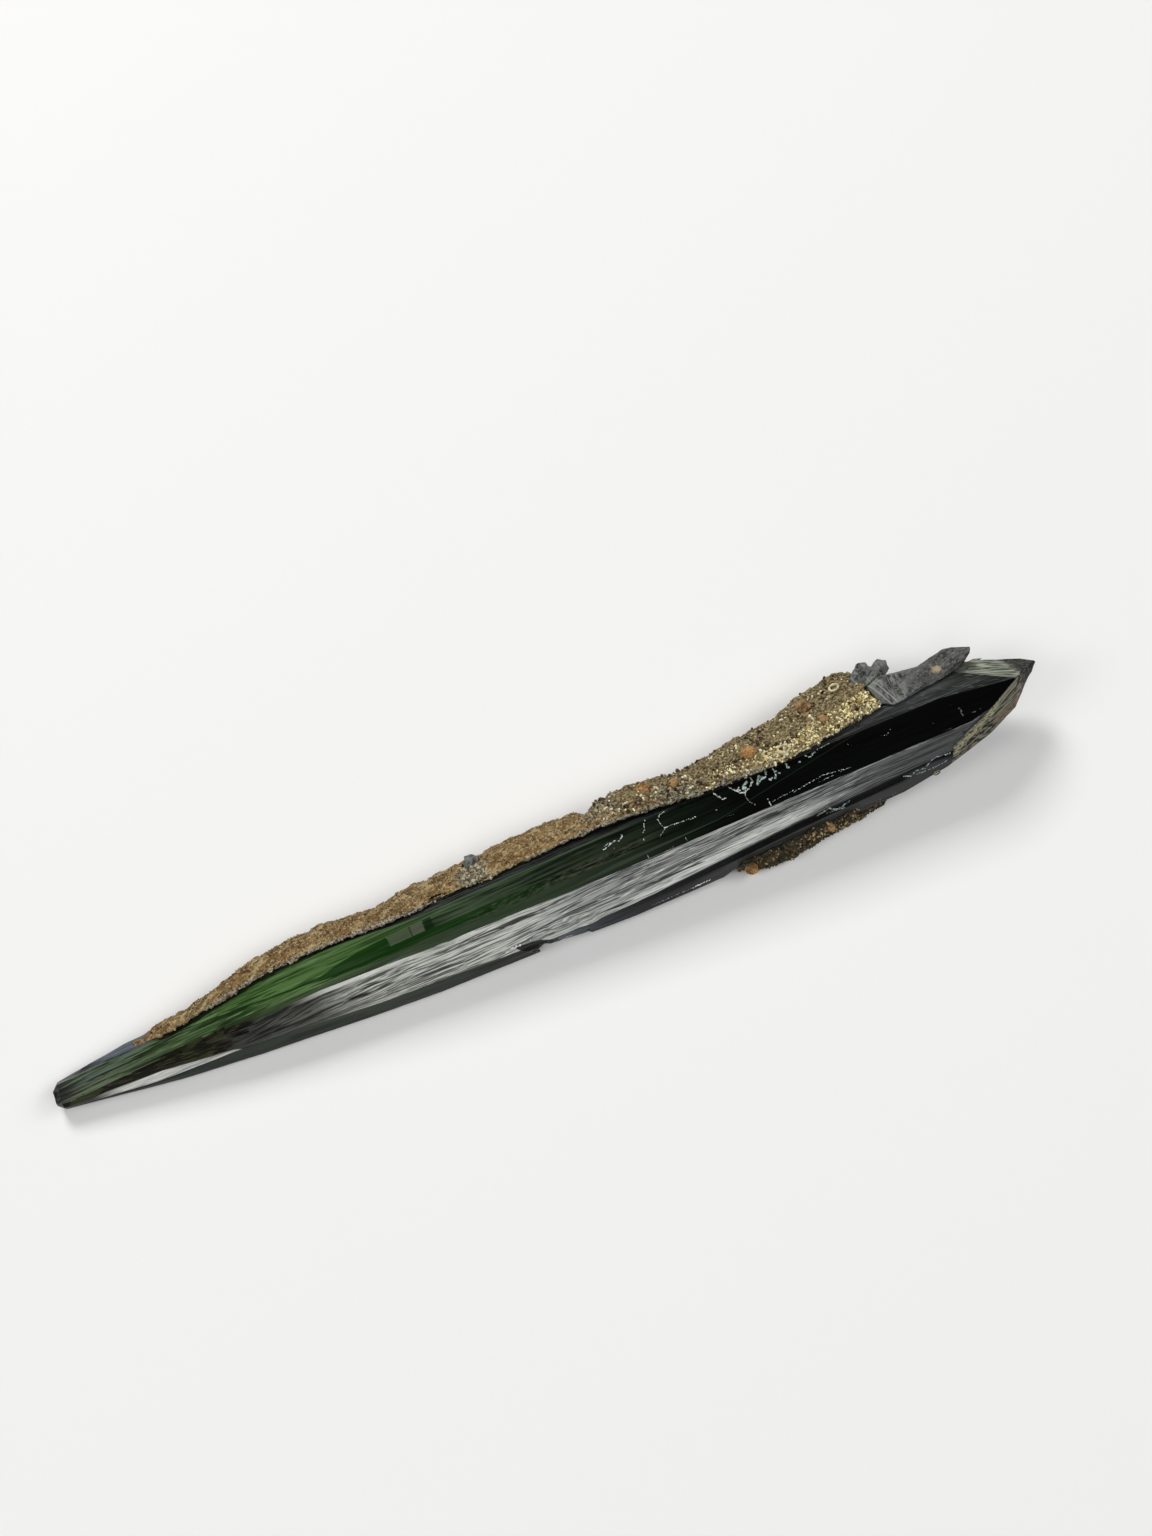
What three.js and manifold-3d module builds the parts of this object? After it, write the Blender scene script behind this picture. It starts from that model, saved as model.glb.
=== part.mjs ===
// A vivianite specimen: one long, dark green crystal blade that lies on its broad bottom face.
// It tapers to a thin blunt end on the left and to a bevelled point on the right. A brown crust
// of matrix rock runs along its back, a smaller crust hangs under its front, rusty nodules sit in
// both, and smaller grey crystals stand at the back of the pointed end.
// Millimetres. +X runs from the thin end to the point, +Y to the crusted back, +Z up.
import * as THREE from 'three';
import Module from 'manifold-3d';
import { mergeVertices } from 'three/addons/utils/BufferGeometryUtils.js';

const wasm = await Module();
wasm.setup();

// Driving dimensions
const LENGTH = 112;        // of the blade, thin end to point
const LAST_RING = 111;     // where the ten edges stop, just short of the point
const GAP = 0.3;           // left between the crystal and what grew on it
const NODULE_GAP = 0.1;    // left round each nodule in its seat
const CRUST_STEP = 1.5;    // between two sections of a crust
const POINT = new THREE.Vector3(LENGTH, -0.1, 6.3);
const BLUNT_END = new THREE.Vector3(0, 0.0, 1.1);
const BLUNT_SHARE = 0.6;   // width of the blunt end against the first ring
const POINT_SHARE = 0.12;  // width of the point against the last ring

// The ten long edges of the blade, in order round it. Each is a list of [x, y, z].
const EDGES = {
  backBevel: [[0.6, 1.6, 1.4], [8, 2.2, 2.4], [16, 2.1, 3.3], [24, 2.6, 4.2], [40, 2.4, 5.4],
    [81, 1.6, 7.4], [96, 1.5, 7.75], [103, 1.74, 7.7], [107.8, -1.5, 8.35], [111, -0.3, 6.8]],
  topBack: [[0.6, 1.2, 2.0], [12, 0.9, 3.5], [24, 2.1, 5.0], [30, 1.9, 5.5], [40, 1.0, 6.2],
    [60, 0.8, 7.2], [81, -0.1, 8.2], [99, -0.4, 8.6], [107.8, -1.6, 8.4], [111, -0.5, 6.9]],
  topFront: [[0.6, -0.9, 2.1], [14, -1.7, 3.9], [28, -1.8, 5.4], [40, -2.6, 6.2], [60, -3.4, 7.2],
    [81, -3.9, 8.2], [101, -4.2, 8.6], [104, -3.55, 8.5], [107.8, -1.75, 8.4], [111, -0.9, 6.8]],
  frontMiddle: [[0.6, -1.2, 1.6], [10.6, -1.95, 2.6], [18, -3.1, 3.2], [24, -3.5, 3.6],
    [40, -4.0, 4.6], [60, -4.7, 5.2], [81, -4.6, 6.2], [99, -4.65, 7.0], [104, -3.65, 8.3],
    [107.8, -1.85, 8.3], [111, -0.95, 6.6]],
  frontLower: [[0.6, -1.15, 0.9], [9.8, -2.5, 1.4], [18, -3.0, 1.8], [34, -4.7, 2.5],
    [46, -5.5, 2.8], [55, -6.0, 3.0], [65, -6.0, 3.4], [80, -5.5, 4.2], [99, -5.2, 4.9],
    [104, -3.8, 7.6], [107.8, -1.95, 8.1], [111, -1.0, 6.5]],
  shelf: [[0.6, -1.1, 0.6], [12, -2.9, 1.1], [34, -5.0, 1.7], [52, -5.9, 1.9], [65, -6.2, 2.4],
    [82, -5.8, 3.1], [98.5, -5.7, 4.1], [104, -4.6, 6.0], [107.8, -2.9, 6.8], [111, -1.05, 6.3]],
  lowFront: [[0.6, -1.0, 0.3], [11.6, -2.9, 0.3], [20, -3.9, 0.3], [31, -4.9, 0.3],
    [39, -5.5, 0.3], [51, -5.9, 0.3], [61, -6.6, 0.8], [71, -6.7, 1.1], [74, -6.2, 1.5],
    [88, -6.35, 1.7], [93, -6.4, 2.0], [98.5, -6.0, 2.9], [104, -5.0, 4.4],
    [107.8, -3.6, 5.0], [111, -0.9, 5.9]],
  bottomFront: [[0.6, -0.6, 0.2], [6, -1.2, 0], [20, -3.0, 0], [40, -4.6, 0], [81, -4.8, 0],
    [90, -4.8, 0.8], [99, -4.2, 3.0], [107.8, -2.8, 4.4], [111, -0.4, 5.6]],
  bottomBack: [[0.6, 1.2, 0.2], [6, 1.9, 0], [24, 2.8, 0], [81, 2.8, 0], [90, 2.6, 0.6],
    [104, 2.2, 3.2], [107.8, 1.4, 4.3], [111, 0.4, 5.4]],
  backMiddle: [[0.6, 1.6, 0.9], [9, 2.4, 1.4], [16, 2.2, 1.9], [24, 3.0, 2.4], [60, 3.6, 3.8],
    [92, 3.6, 5.0], [105, 3.5, 5.5], [107.5, 2.6, 5.6], [111, 1.1, 5.8]],
};

// The crust's edges: where it laps onto the blade, and its outer skyline, highest at the back.
const CRUST_LAP = [[9, 1.7, 3.3], [12.3, 0.9, 3.9], [16, 1.4, 4.5], [20, 1.8, 5.0], [24, 2.2, 5.3],
  [30, 2.2, 5.7], [40, 1.6, 6.2], [45, 2.0, 6.3], [47.5, 1.4, 6.6], [50, 1.9, 6.6], [60, 2.0, 7.0],
  [65.5, 1.5, 7.7], [70.7, 0.5, 8.3], [81, 0.0, 8.8], [85, 0.5, 8.8], [89, 1.0, 8.6],
  [93.5, 1.7, 8.3]];
const CRUST_SKYLINE = [[9, 2.8, 1.9], [12, 2.9, 2.0], [14, 3.0, 2.1], [18, 3.7, 2.4], [20, 4.4, 2.5],
  [22, 4.9, 2.7], [26, 5.3, 2.9], [30, 5.5, 3.1], [34, 5.0, 3.2], [38.5, 4.8, 3.4], [39.5, 5.3, 3.4],
  [50, 5.7, 3.7], [58, 5.8, 3.9], [60.3, 5.1, 3.9], [61, 5.7, 4.0], [67, 5.9, 4.1], [70, 5.2, 4.2],
  [74, 5.2, 4.3], [77.5, 6.0, 4.4], [83, 6.2, 4.5], [85.3, 6.9, 4.5], [86.5, 7.5, 4.6],
  [90, 8.1, 4.6], [92, 8.5, 4.6], [93.5, 7.9, 4.7]];
const CRUST_RANGE = [9, 93.5];
const CRUST_ROUGH = 0.35;    // size of its bumps
const CRUST_SWELL = 0.35;    // how far its slope bulges above a straight line
const CRUST_UNDERCUT = 0.9;  // how far its foot stands in from the skyline
const CRUST_FOOT = 0.35;     // height of the foot's rounded edge
const CRUST_ROOT_Y = 0.5;    // a line inside the blade, cut away later

// The front crust's outer edge, a patch that hangs under the blade's low front edge.
const FRONT_CRUST_TOP = [[73, -6.5, 2.0], [80, -6.6, 2.5], [85, -6.4, 2.7], [94, -5.9, 2.7]];
const FRONT_CRUST_OUTER = [[73, -6.6, 0.9], [75, -7.4, 0.9], [79.5, -7.7, 1.0], [83, -7.1, 1.2],
  [87, -6.6, 1.5], [94, -5.9, 1.9]];
const FRONT_CRUST_RANGE = [73, 91];
const FRONT_CRUST_ROOT_Y = -4;
const FRONT_CRUST_FOOT_IN = 0.5;

// Rusty nodules: [name, x, y, z, radius]
const NODULES = [
  ['nodule_saddle', 66.6, 4.2, 5.65, 0.84],
  ['nodule_worn', 69.6, 3.1, 6.45, 0.7],
  ['nodule_bright', 78.1, 2.75, 7.35, 0.87],
  ['nodule_high', 86.3, 5.5, 6.5, 0.78],
  ['nodule_pyrite_side', 87.0, 2.8, 7.6, 0.7],
  ['nodule_front', 74.2, -7.0, 1.05, 0.74],
  ['nodule_front_small', 83.7, -6.8, 2.3, 0.44],
];

// Grey tabular crystal behind the point, seen from above, with the height of its top face.
const SIDE_BLADE = [[93.2, 4.3], [93.5, 2.2], [94.2, 0.7], [95.4, 0.7], [99.5, 1.4], [102.5, 2.0],
  [104.4, 2.7], [105.6, 3.6], [105.7, 3.9], [103.8, 4.7], [102.9, 4.9], [99.3, 4.2], [96.5, 4.6],
  [95.1, 4.9]];
const SIDE_BLADE_TOP = 8.3;
const SIDE_BLADE_THICK = 3.0;
const TABLET_BEVEL = 0.5;

// Small prisms: foot, tip, radius across the corners, length of the pointed end
const CLUSTER_PRISMS = [
  { foot: [92.6, 5.4, 5.2], tip: [95.0, 7.5, 6.5], radius: 0.95, point: 0.5 },
  { foot: [94.0, 5.2, 5.2], tip: [97.3, 6.9, 6.2], radius: 1.05, point: 0.6 },
  { foot: [93.0, 5.6, 4.7], tip: [96.0, 6.9, 5.6], radius: 1.0, point: 0.5 },
];
const CRUST_CRYSTAL = { foot: [46.6, 4.0, 3.8], tip: [47.3, 5.35, 5.2], radius: 0.85, point: 0.4 };
const SPLINTER = { foot: [104.6, 3.0, 5.1], tip: [107.5, 3.05, 5.3], radius: 0.35, point: 1.0 };

// The chip that broke the shelf's front end off, seen from above
const CHIP = [[50.4, -7], [50.1, -6.1], [49.9, -5.5], [50.8, -5.2], [52.4, -5.6], [55.6, -5.9],
  [56.4, -7]];
const CHIP_TOP = 2.7;

const COLOURS = {
  crystal: { color: 0x16301a, roughness: 0.12, metalness: 0 },
  greyCrystal: { color: 0x4a4f55, roughness: 0.35, metalness: 0 },
  crust: { color: 0x8a6c48, roughness: 0.95, metalness: 0 },
  nodule: { color: 0x9c5527, roughness: 0.8, metalness: 0 },
};

// A repeatable number from 0 to 1 for each seed.
const chance = (seed) => {
  const wave = Math.sin(seed * 12.9898 + 4.1414) * 43758.5453;
  return wave - Math.floor(wave);
};

// The point of an edge at x, straight between the points given.
function along(edge, x) {
  const last = edge[edge.length - 1];
  if (x <= edge[0][0]) return new THREE.Vector3(x, edge[0][1], edge[0][2]);
  if (x >= last[0]) return new THREE.Vector3(x, last[1], last[2]);
  const n = edge.findIndex((p) => p[0] > x);
  const [a, b] = [edge[n - 1], edge[n]];
  const t = (x - a[0]) / (b[0] - a[0]);
  return new THREE.Vector3(x, a[1] + t * (b[1] - a[1]), a[2] + t * (b[2] - a[2]));
}

const middleOf = (ring) => ring.reduce((sum, p) => sum.add(p), new THREE.Vector3())
  .divideScalar(ring.length);

// A closed skin through rings of points that each run the same way round.
function loft(rings) {
  const size = rings[0].length;
  const points = [...rings.flat(), middleOf(rings[0]), middleOf(rings[rings.length - 1])];
  const first = points.length - 2;
  const last = points.length - 1;
  const faces = [];
  for (let r = 0; r + 1 < rings.length; r++) {
    for (let i = 0; i < size; i++) {
      const j = (i + 1) % size;
      const [a, b, c, d] = [r * size + i, r * size + j, (r + 1) * size + j, (r + 1) * size + i];
      faces.push(a, b, c, a, c, d);
    }
  }
  for (let i = 0; i < size; i++) {
    const j = (i + 1) % size;
    const end = (rings.length - 1) * size;
    faces.push(first, j, i, last, end + i, end + j);
  }
  const geometry = new THREE.BufferGeometry().setFromPoints(points);
  geometry.setIndex(faces);
  return geometry;
}

function solidOf(geometry) {
  const bare = geometry.clone();
  bare.deleteAttribute('normal');
  bare.deleteAttribute('uv');
  const merged = mergeVertices(bare, 1e-4);
  const corners = [];
  for (let i = 0; i < merged.index.count; i += 3) {
    const [a, b, c] = merged.index.array.slice(i, i + 3);
    if (a !== b && b !== c && c !== a) corners.push(a, b, c);
  }
  return new wasm.Manifold(new wasm.Mesh({
    numProp: 3,
    vertProperties: new Float32Array(merged.attributes.position.array),
    triVerts: new Uint32Array(corners),
  }));
}

// The largest single body of a solid, which leaves out crumbs that a cut made.
const largestOf = (solid) => solid.decompose().sort((a, b) => b.volume() - a.volume())[0];

function geometryOf(solid) {
  const mesh = solid.getMesh();
  const positions = new Float32Array(mesh.numVert * 3);
  for (let i = 0; i < mesh.numVert; i++) {
    positions.set(mesh.vertProperties.subarray(i * mesh.numProp, i * mesh.numProp + 3), i * 3);
  }
  const geometry = new THREE.BufferGeometry();
  geometry.setAttribute('position', new THREE.BufferAttribute(positions, 3));
  geometry.setIndex(new THREE.BufferAttribute(mesh.triVerts, 1));
  geometry.computeVertexNormals();
  return geometry;
}

// The blade, its edges pushed out by grow all round
function bladeGeometry(grow) {
  const edges = Object.values(EDGES);
  const stations = [...new Set(edges.flat().map((p) => p[0]))].sort((a, b) => a - b);
  const rings = stations.filter((x) => x <= LAST_RING).map((x) => edges.map((e) => along(e, x)));
  const shrunk = (ring, towards, share) => {
    const middle = middleOf(ring);
    return ring.map((p) => p.clone().sub(middle).multiplyScalar(share).add(towards));
  };
  rings.unshift(shrunk(rings[0], BLUNT_END, BLUNT_SHARE));
  rings.push(shrunk(rings[rings.length - 1], POINT, POINT_SHARE));
  for (const ring of rings) {
    const middle = middleOf(ring);
    for (const p of ring) p.addScaledVector(p.clone().sub(middle).normalize(), grow);
  }
  return loft(rings);
}

// A hexagonal prism with a pointed end, from its foot to its tip, made larger all round by grow
function prismGeometry({ foot, tip, radius, point }, grow = 0) {
  const way = new THREE.Vector3(...tip).sub(new THREE.Vector3(...foot)).normalize();
  const start = new THREE.Vector3(...foot).addScaledVector(way, -grow);
  const length = new THREE.Vector3(...tip).distanceTo(start) + grow;
  const profile = [
    new THREE.Vector2(0, 0),
    new THREE.Vector2(radius + grow, 0),
    new THREE.Vector2((radius + grow) * 0.94, length - point),
    new THREE.Vector2(0, length),
  ];
  const turn = new THREE.Quaternion().setFromUnitVectors(new THREE.Vector3(0, 1, 0), way);
  return new THREE.LatheGeometry(profile, 6).applyQuaternion(turn)
    .translate(start.x, start.y, start.z);
}

// A tabular crystal: its outline at mid height, drawn in to smaller faces above and below
function tabletGeometry(outline, low, high, grow = 0) {
  const middle = middleOf(outline.map(([x, y]) => new THREE.Vector3(x, y, 0)));
  const ring = (z, inset) => outline.map(([x, y]) => new THREE.Vector3(
    x + Math.sign(x - middle.x) * (grow - inset),
    y + Math.sign(y - middle.y) * (grow - inset),
    z,
  ));
  return loft([
    ring(low - grow, TABLET_BEVEL),
    ring(low + TABLET_BEVEL, 0),
    ring(high - TABLET_BEVEL, 0),
    ring(high + grow, TABLET_BEVEL),
  ]);
}

function stationsOf([low, high], step) {
  const count = Math.round((high - low) / step);
  return Array.from({ length: count + 1 }, (_, i) => low + ((high - low) * i) / count);
}

// The back crust: it laps onto the blade, slopes down to its skyline and stands on the ground
function backCrustGeometry() {
  const rings = stationsOf(CRUST_RANGE, CRUST_STEP).map((x, n) => {
    const lap = along(CRUST_LAP, x);
    const sky = along(CRUST_SKYLINE, x);
    const bump = (k) => CRUST_ROUGH * (chance(n * 7 + k) - 0.5);
    const slope = (share) => lap.clone().lerp(sky, share);
    const foot = sky.y - CRUST_UNDERCUT + bump(5);
    return [
      new THREE.Vector3(x, foot - CRUST_FOOT, 0),
      new THREE.Vector3(x, foot, CRUST_FOOT),
      new THREE.Vector3(x, sky.y + bump(4), sky.z * 0.5),
      new THREE.Vector3(x, sky.y + bump(3) * 0.5, sky.z + bump(3)),
      new THREE.Vector3(x, slope(0.7).y + 0.2, slope(0.7).z + CRUST_SWELL + bump(2)),
      new THREE.Vector3(x, slope(0.3).y + 0.1, slope(0.3).z + CRUST_SWELL + bump(1)),
      lap,
      new THREE.Vector3(x, CRUST_ROOT_Y, lap.z * 0.6),
      new THREE.Vector3(x, CRUST_ROOT_Y, 0),
    ];
  });
  return loft(rings);
}

// The front crust: a narrow ridge of matrix from the blade's low front edge to the ground
function frontCrustGeometry() {
  const rings = stationsOf(FRONT_CRUST_RANGE, CRUST_STEP).map((x, n) => {
    const top = along(FRONT_CRUST_TOP, x);
    const outer = along(FRONT_CRUST_OUTER, x);
    const bump = (k) => CRUST_ROUGH * (chance(n * 11 + k + 400) - 0.5);
    const shoulder = top.clone().lerp(outer, 0.5);
    return [
      new THREE.Vector3(x, FRONT_CRUST_ROOT_Y, top.z),
      new THREE.Vector3(x, top.y, top.z + bump(4)),
      new THREE.Vector3(x, shoulder.y, shoulder.z + bump(3)),
      new THREE.Vector3(x, outer.y + bump(2), outer.z),
      new THREE.Vector3(x, outer.y + bump(1), CRUST_FOOT),
      new THREE.Vector3(x, outer.y + FRONT_CRUST_FOOT_IN, 0),
      new THREE.Vector3(x, FRONT_CRUST_ROOT_Y, 0),
    ];
  });
  return loft(rings);
}

const root = new THREE.Group();
const specimen = new THREE.Group();
root.add(specimen);

function addPiece(name, solid, look) {
  const mesh = new THREE.Mesh(geometryOf(solid), new THREE.MeshStandardMaterial(look));
  mesh.name = name;
  specimen.add(mesh);
}

// Main crystal: the blade with its splinter, less the chip
const chipShape = new THREE.Shape(CHIP.map(([x, y]) => new THREE.Vector2(x, y)));
const chip = solidOf(new THREE.ExtrudeGeometry(chipShape, { depth: CHIP_TOP + 1, bevelEnabled: false })
  .translate(0, 0, -1));
const mainCrystal = solidOf(bladeGeometry(0)).add(solidOf(prismGeometry(SPLINTER))).subtract(chip);
addPiece('main_crystal', largestOf(mainCrystal), COLOURS.crystal);
const crystalRoom = solidOf(bladeGeometry(GAP));

// Grey crystals behind the point and on the crust
const sideBladeLow = SIDE_BLADE_TOP - SIDE_BLADE_THICK;
const sideBlade = solidOf(tabletGeometry(SIDE_BLADE, sideBladeLow, SIDE_BLADE_TOP));
addPiece('side_blade', largestOf(sideBlade.subtract(crystalRoom)), COLOURS.greyCrystal);
const sideBladeRoom = solidOf(tabletGeometry(SIDE_BLADE, sideBladeLow, SIDE_BLADE_TOP, GAP));
const cluster = CLUSTER_PRISMS.map((prism) => solidOf(prismGeometry(prism)))
  .reduce((a, b) => a.add(b));
addPiece('small_cluster', largestOf(cluster.subtract(crystalRoom).subtract(sideBladeRoom)),
  COLOURS.greyCrystal);
addPiece('crust_crystal', solidOf(prismGeometry(CRUST_CRYSTAL)), COLOURS.greyCrystal);

// Nodules, with the larger balls that cut their seats
const ball = ([, x, y, z, radius], grow = 0) => solidOf(
  new THREE.IcosahedronGeometry(radius + grow, 2).translate(x, y, z));
for (const nodule of NODULES) addPiece(nodule[0], ball(nodule), COLOURS.nodule);

// Crusts, cut back from everything that they hold
const rooms = [crystalRoom, sideBladeRoom]
  .concat([...CLUSTER_PRISMS, CRUST_CRYSTAL].map((prism) => solidOf(prismGeometry(prism, GAP))))
  .concat(NODULES.map((nodule) => ball(nodule, NODULE_GAP)));
for (const [name, geometry] of [
  ['back_crust', backCrustGeometry()],
  ['front_crust', frontCrustGeometry()],
]) {
  const rest = rooms.reduce((solid, space) => solid.subtract(space), solidOf(geometry));
  addPiece(name, largestOf(rest), COLOURS.crust);
}

// The origin is at the middle of the box that holds the specimen, at its base.
const box = new THREE.Box3().setFromObject(specimen);
const centre = box.getCenter(new THREE.Vector3());
specimen.position.set(-centre.x, -centre.y, -box.min.z);

export default root;
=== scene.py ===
# %% [markdown]
# # A vivianite crystal on its matrix
# Vivianite grows as long blades with one perfect cleavage. This one is 112 mm long: a dark green
# blade that is blunt and thin at one end and bevelled to a point at the other. Brown matrix
# rock is stuck along its back and under its front, with rusty nodules and golden grains in it.
# The solids come ready made, in metres. Here each gets the surface that the real one has.

# %% Load the solids
import math
import random

import bpy
from mathutils import Matrix, Vector, noise


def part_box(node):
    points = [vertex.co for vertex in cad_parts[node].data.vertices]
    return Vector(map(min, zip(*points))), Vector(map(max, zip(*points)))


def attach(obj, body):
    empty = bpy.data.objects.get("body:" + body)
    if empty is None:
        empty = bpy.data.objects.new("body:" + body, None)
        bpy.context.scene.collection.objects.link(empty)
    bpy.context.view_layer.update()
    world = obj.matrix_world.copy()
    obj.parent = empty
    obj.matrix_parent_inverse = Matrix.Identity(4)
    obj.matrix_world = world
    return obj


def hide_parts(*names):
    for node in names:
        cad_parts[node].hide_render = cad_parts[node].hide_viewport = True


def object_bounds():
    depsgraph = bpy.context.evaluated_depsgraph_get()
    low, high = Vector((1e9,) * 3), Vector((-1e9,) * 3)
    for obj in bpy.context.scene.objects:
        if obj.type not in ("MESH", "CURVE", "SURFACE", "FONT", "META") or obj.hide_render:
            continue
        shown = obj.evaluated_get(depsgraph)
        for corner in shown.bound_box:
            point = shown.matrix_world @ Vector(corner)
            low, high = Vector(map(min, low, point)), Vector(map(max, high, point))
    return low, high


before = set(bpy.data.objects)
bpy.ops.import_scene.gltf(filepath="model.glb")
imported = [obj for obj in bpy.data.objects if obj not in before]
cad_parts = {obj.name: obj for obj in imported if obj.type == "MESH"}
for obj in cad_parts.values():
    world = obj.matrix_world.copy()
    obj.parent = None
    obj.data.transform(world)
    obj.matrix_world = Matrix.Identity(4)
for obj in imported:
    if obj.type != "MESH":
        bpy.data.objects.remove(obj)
cad_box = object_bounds()
MM = 0.001
print("solids:", sorted(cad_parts))

# %% [markdown]
# ## Where things are
# A mineral is easiest to describe from one end, so places below are given in millimetres from
# the blade's thin end, and one function turns them into places in the scene. The same shift is
# used by every finish, so that a pattern and a piece at x = 60 meet at x = 60.

# %% Places in millimetres from the thin end
BLADE_LENGTH = 112.0
THIN_END = (cad_box[0].x, -0.328 * MM, 0.0)


def at(x, y, z):
    return Vector((THIN_END[0] + x * MM, THIN_END[1] + y * MM, z * MM))


def from_end(point):
    return Vector((
        (point.x - THIN_END[0]) / MM,
        (point.y - THIN_END[1]) / MM,
        point.z / MM,
    ))


def along(line, x):
    """The value at x of a line that is straight between its points (x, value)."""
    for (x0, y0), (x1, y1) in zip(line, line[1:]):
        if x <= x1:
            return y0 + (y1 - y0) * (max(x, x0) - x0) / (x1 - x0)
    return line[-1][1]


# %% [markdown]
# ## The camera
# The specimen is looked down on from in front of its thin end, at 66 degrees. A lens of 34 mm on
# a full frame stands close enough that the far end looks a little smaller.

# %% Camera
camera = bpy.data.objects.new("camera", bpy.data.cameras.new("camera"))
bpy.context.scene.collection.objects.link(camera)
camera.data.lens = 34.0
camera.data.clip_start = 0.01
camera.location = at(35.05, -47.47, 146.47)
aim = at(62.26, 11.80, 0.0) - camera.location
camera.rotation_euler = aim.to_track_quat("-Z", "Y").to_euler()
bpy.context.scene.camera = camera
print("camera is", round(aim.length / MM), "mm from the surface")

# %% [markdown]
# ## Floor and light
# A glassy black face shows what it mirrors, so the space over the specimen stays dark and the
# light comes from a ring of soft lamps round it. The one behind is the strongest, which puts
# the soft shadow in front. It stands lower than what the top face mirrors and higher than what
# the back bevel mirrors. The pale floor in front lights the steep cleavage.

# %% Floor, lamps and sky
FLOOR_DROP = 0.00005
bpy.ops.object.select_all(action="DESELECT")
bpy.ops.mesh.primitive_plane_add(size=2.4, location=(0, 0, -FLOOR_DROP))
floor = bpy.context.object
floor.name = "floor"
floor_finish = bpy.data.materials.new("pale floor")
floor_finish.use_nodes = True
floor_shader = floor_finish.node_tree.nodes["Principled BSDF"]
floor_shader.inputs["Base Color"].default_value = (0.83, 0.83, 0.82, 1)
floor_shader.inputs["Roughness"].default_value = 0.9
floor_shader.inputs["Specular IOR Level"].default_value = 0.1
floor.data.materials.append(floor_finish)


def soft_lamp(name, place, size, watts, tint=(1, 1, 1)):
    lamp = bpy.data.objects.new(name, bpy.data.lights.new(name, "AREA"))
    bpy.context.scene.collection.objects.link(lamp)
    lamp.location = place
    lamp.rotation_euler = (-Vector(place)).to_track_quat("-Z", "Y").to_euler()
    lamp.data.size = size
    lamp.data.energy = watts
    lamp.data.color = tint


soft_lamp("window, back", (-0.09, 0.66, 0.60), size=0.30, watts=5.2,
          tint=(1.0, 0.99, 0.97))
soft_lamp("wall, left", (-0.72, 0.02, 0.53), size=0.35, watts=2.2)
soft_lamp("wall, right", (0.72, -0.08, 0.50), size=0.35, watts=2.2,
          tint=(0.98, 0.99, 1.0))
soft_lamp("wall, front left", (-0.41, -0.41, 0.69), size=0.50, watts=1.8)
soft_lamp("wall, front right", (0.41, -0.41, 0.69), size=0.50, watts=1.8)

sky = bpy.data.worlds.new("dim room")
sky.use_nodes = True
sky.node_tree.nodes["Background"].inputs["Color"].default_value = (1.0, 1.0, 1.0, 1)
sky.node_tree.nodes["Background"].inputs["Strength"].default_value = 0.03
bpy.context.scene.world = sky
bpy.context.scene.view_settings.view_transform = "Standard"
print("lamps:", sorted(lamp.name for lamp in bpy.data.lights))

# %% [markdown]
# ## How a finish is put together
# A finish is a tree of nodes that ends in one shader. The small class below adds nodes and
# links them, so that a finish reads like a recipe. All patterns start from the object's own
# coordinates in millimetres, which never slide when the view or the pose changes.

# %% The finish maker
LINE_RANGE = 20.0


def srgb(red, green, blue):
    """A colour as a picture shows it, made linear for a shader."""
    return tuple(
        c / 12.92 if c <= 0.04045 else ((c + 0.055) / 1.055) ** 2.4 for c in (red, green, blue)
    ) + (1.0,)


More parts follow.
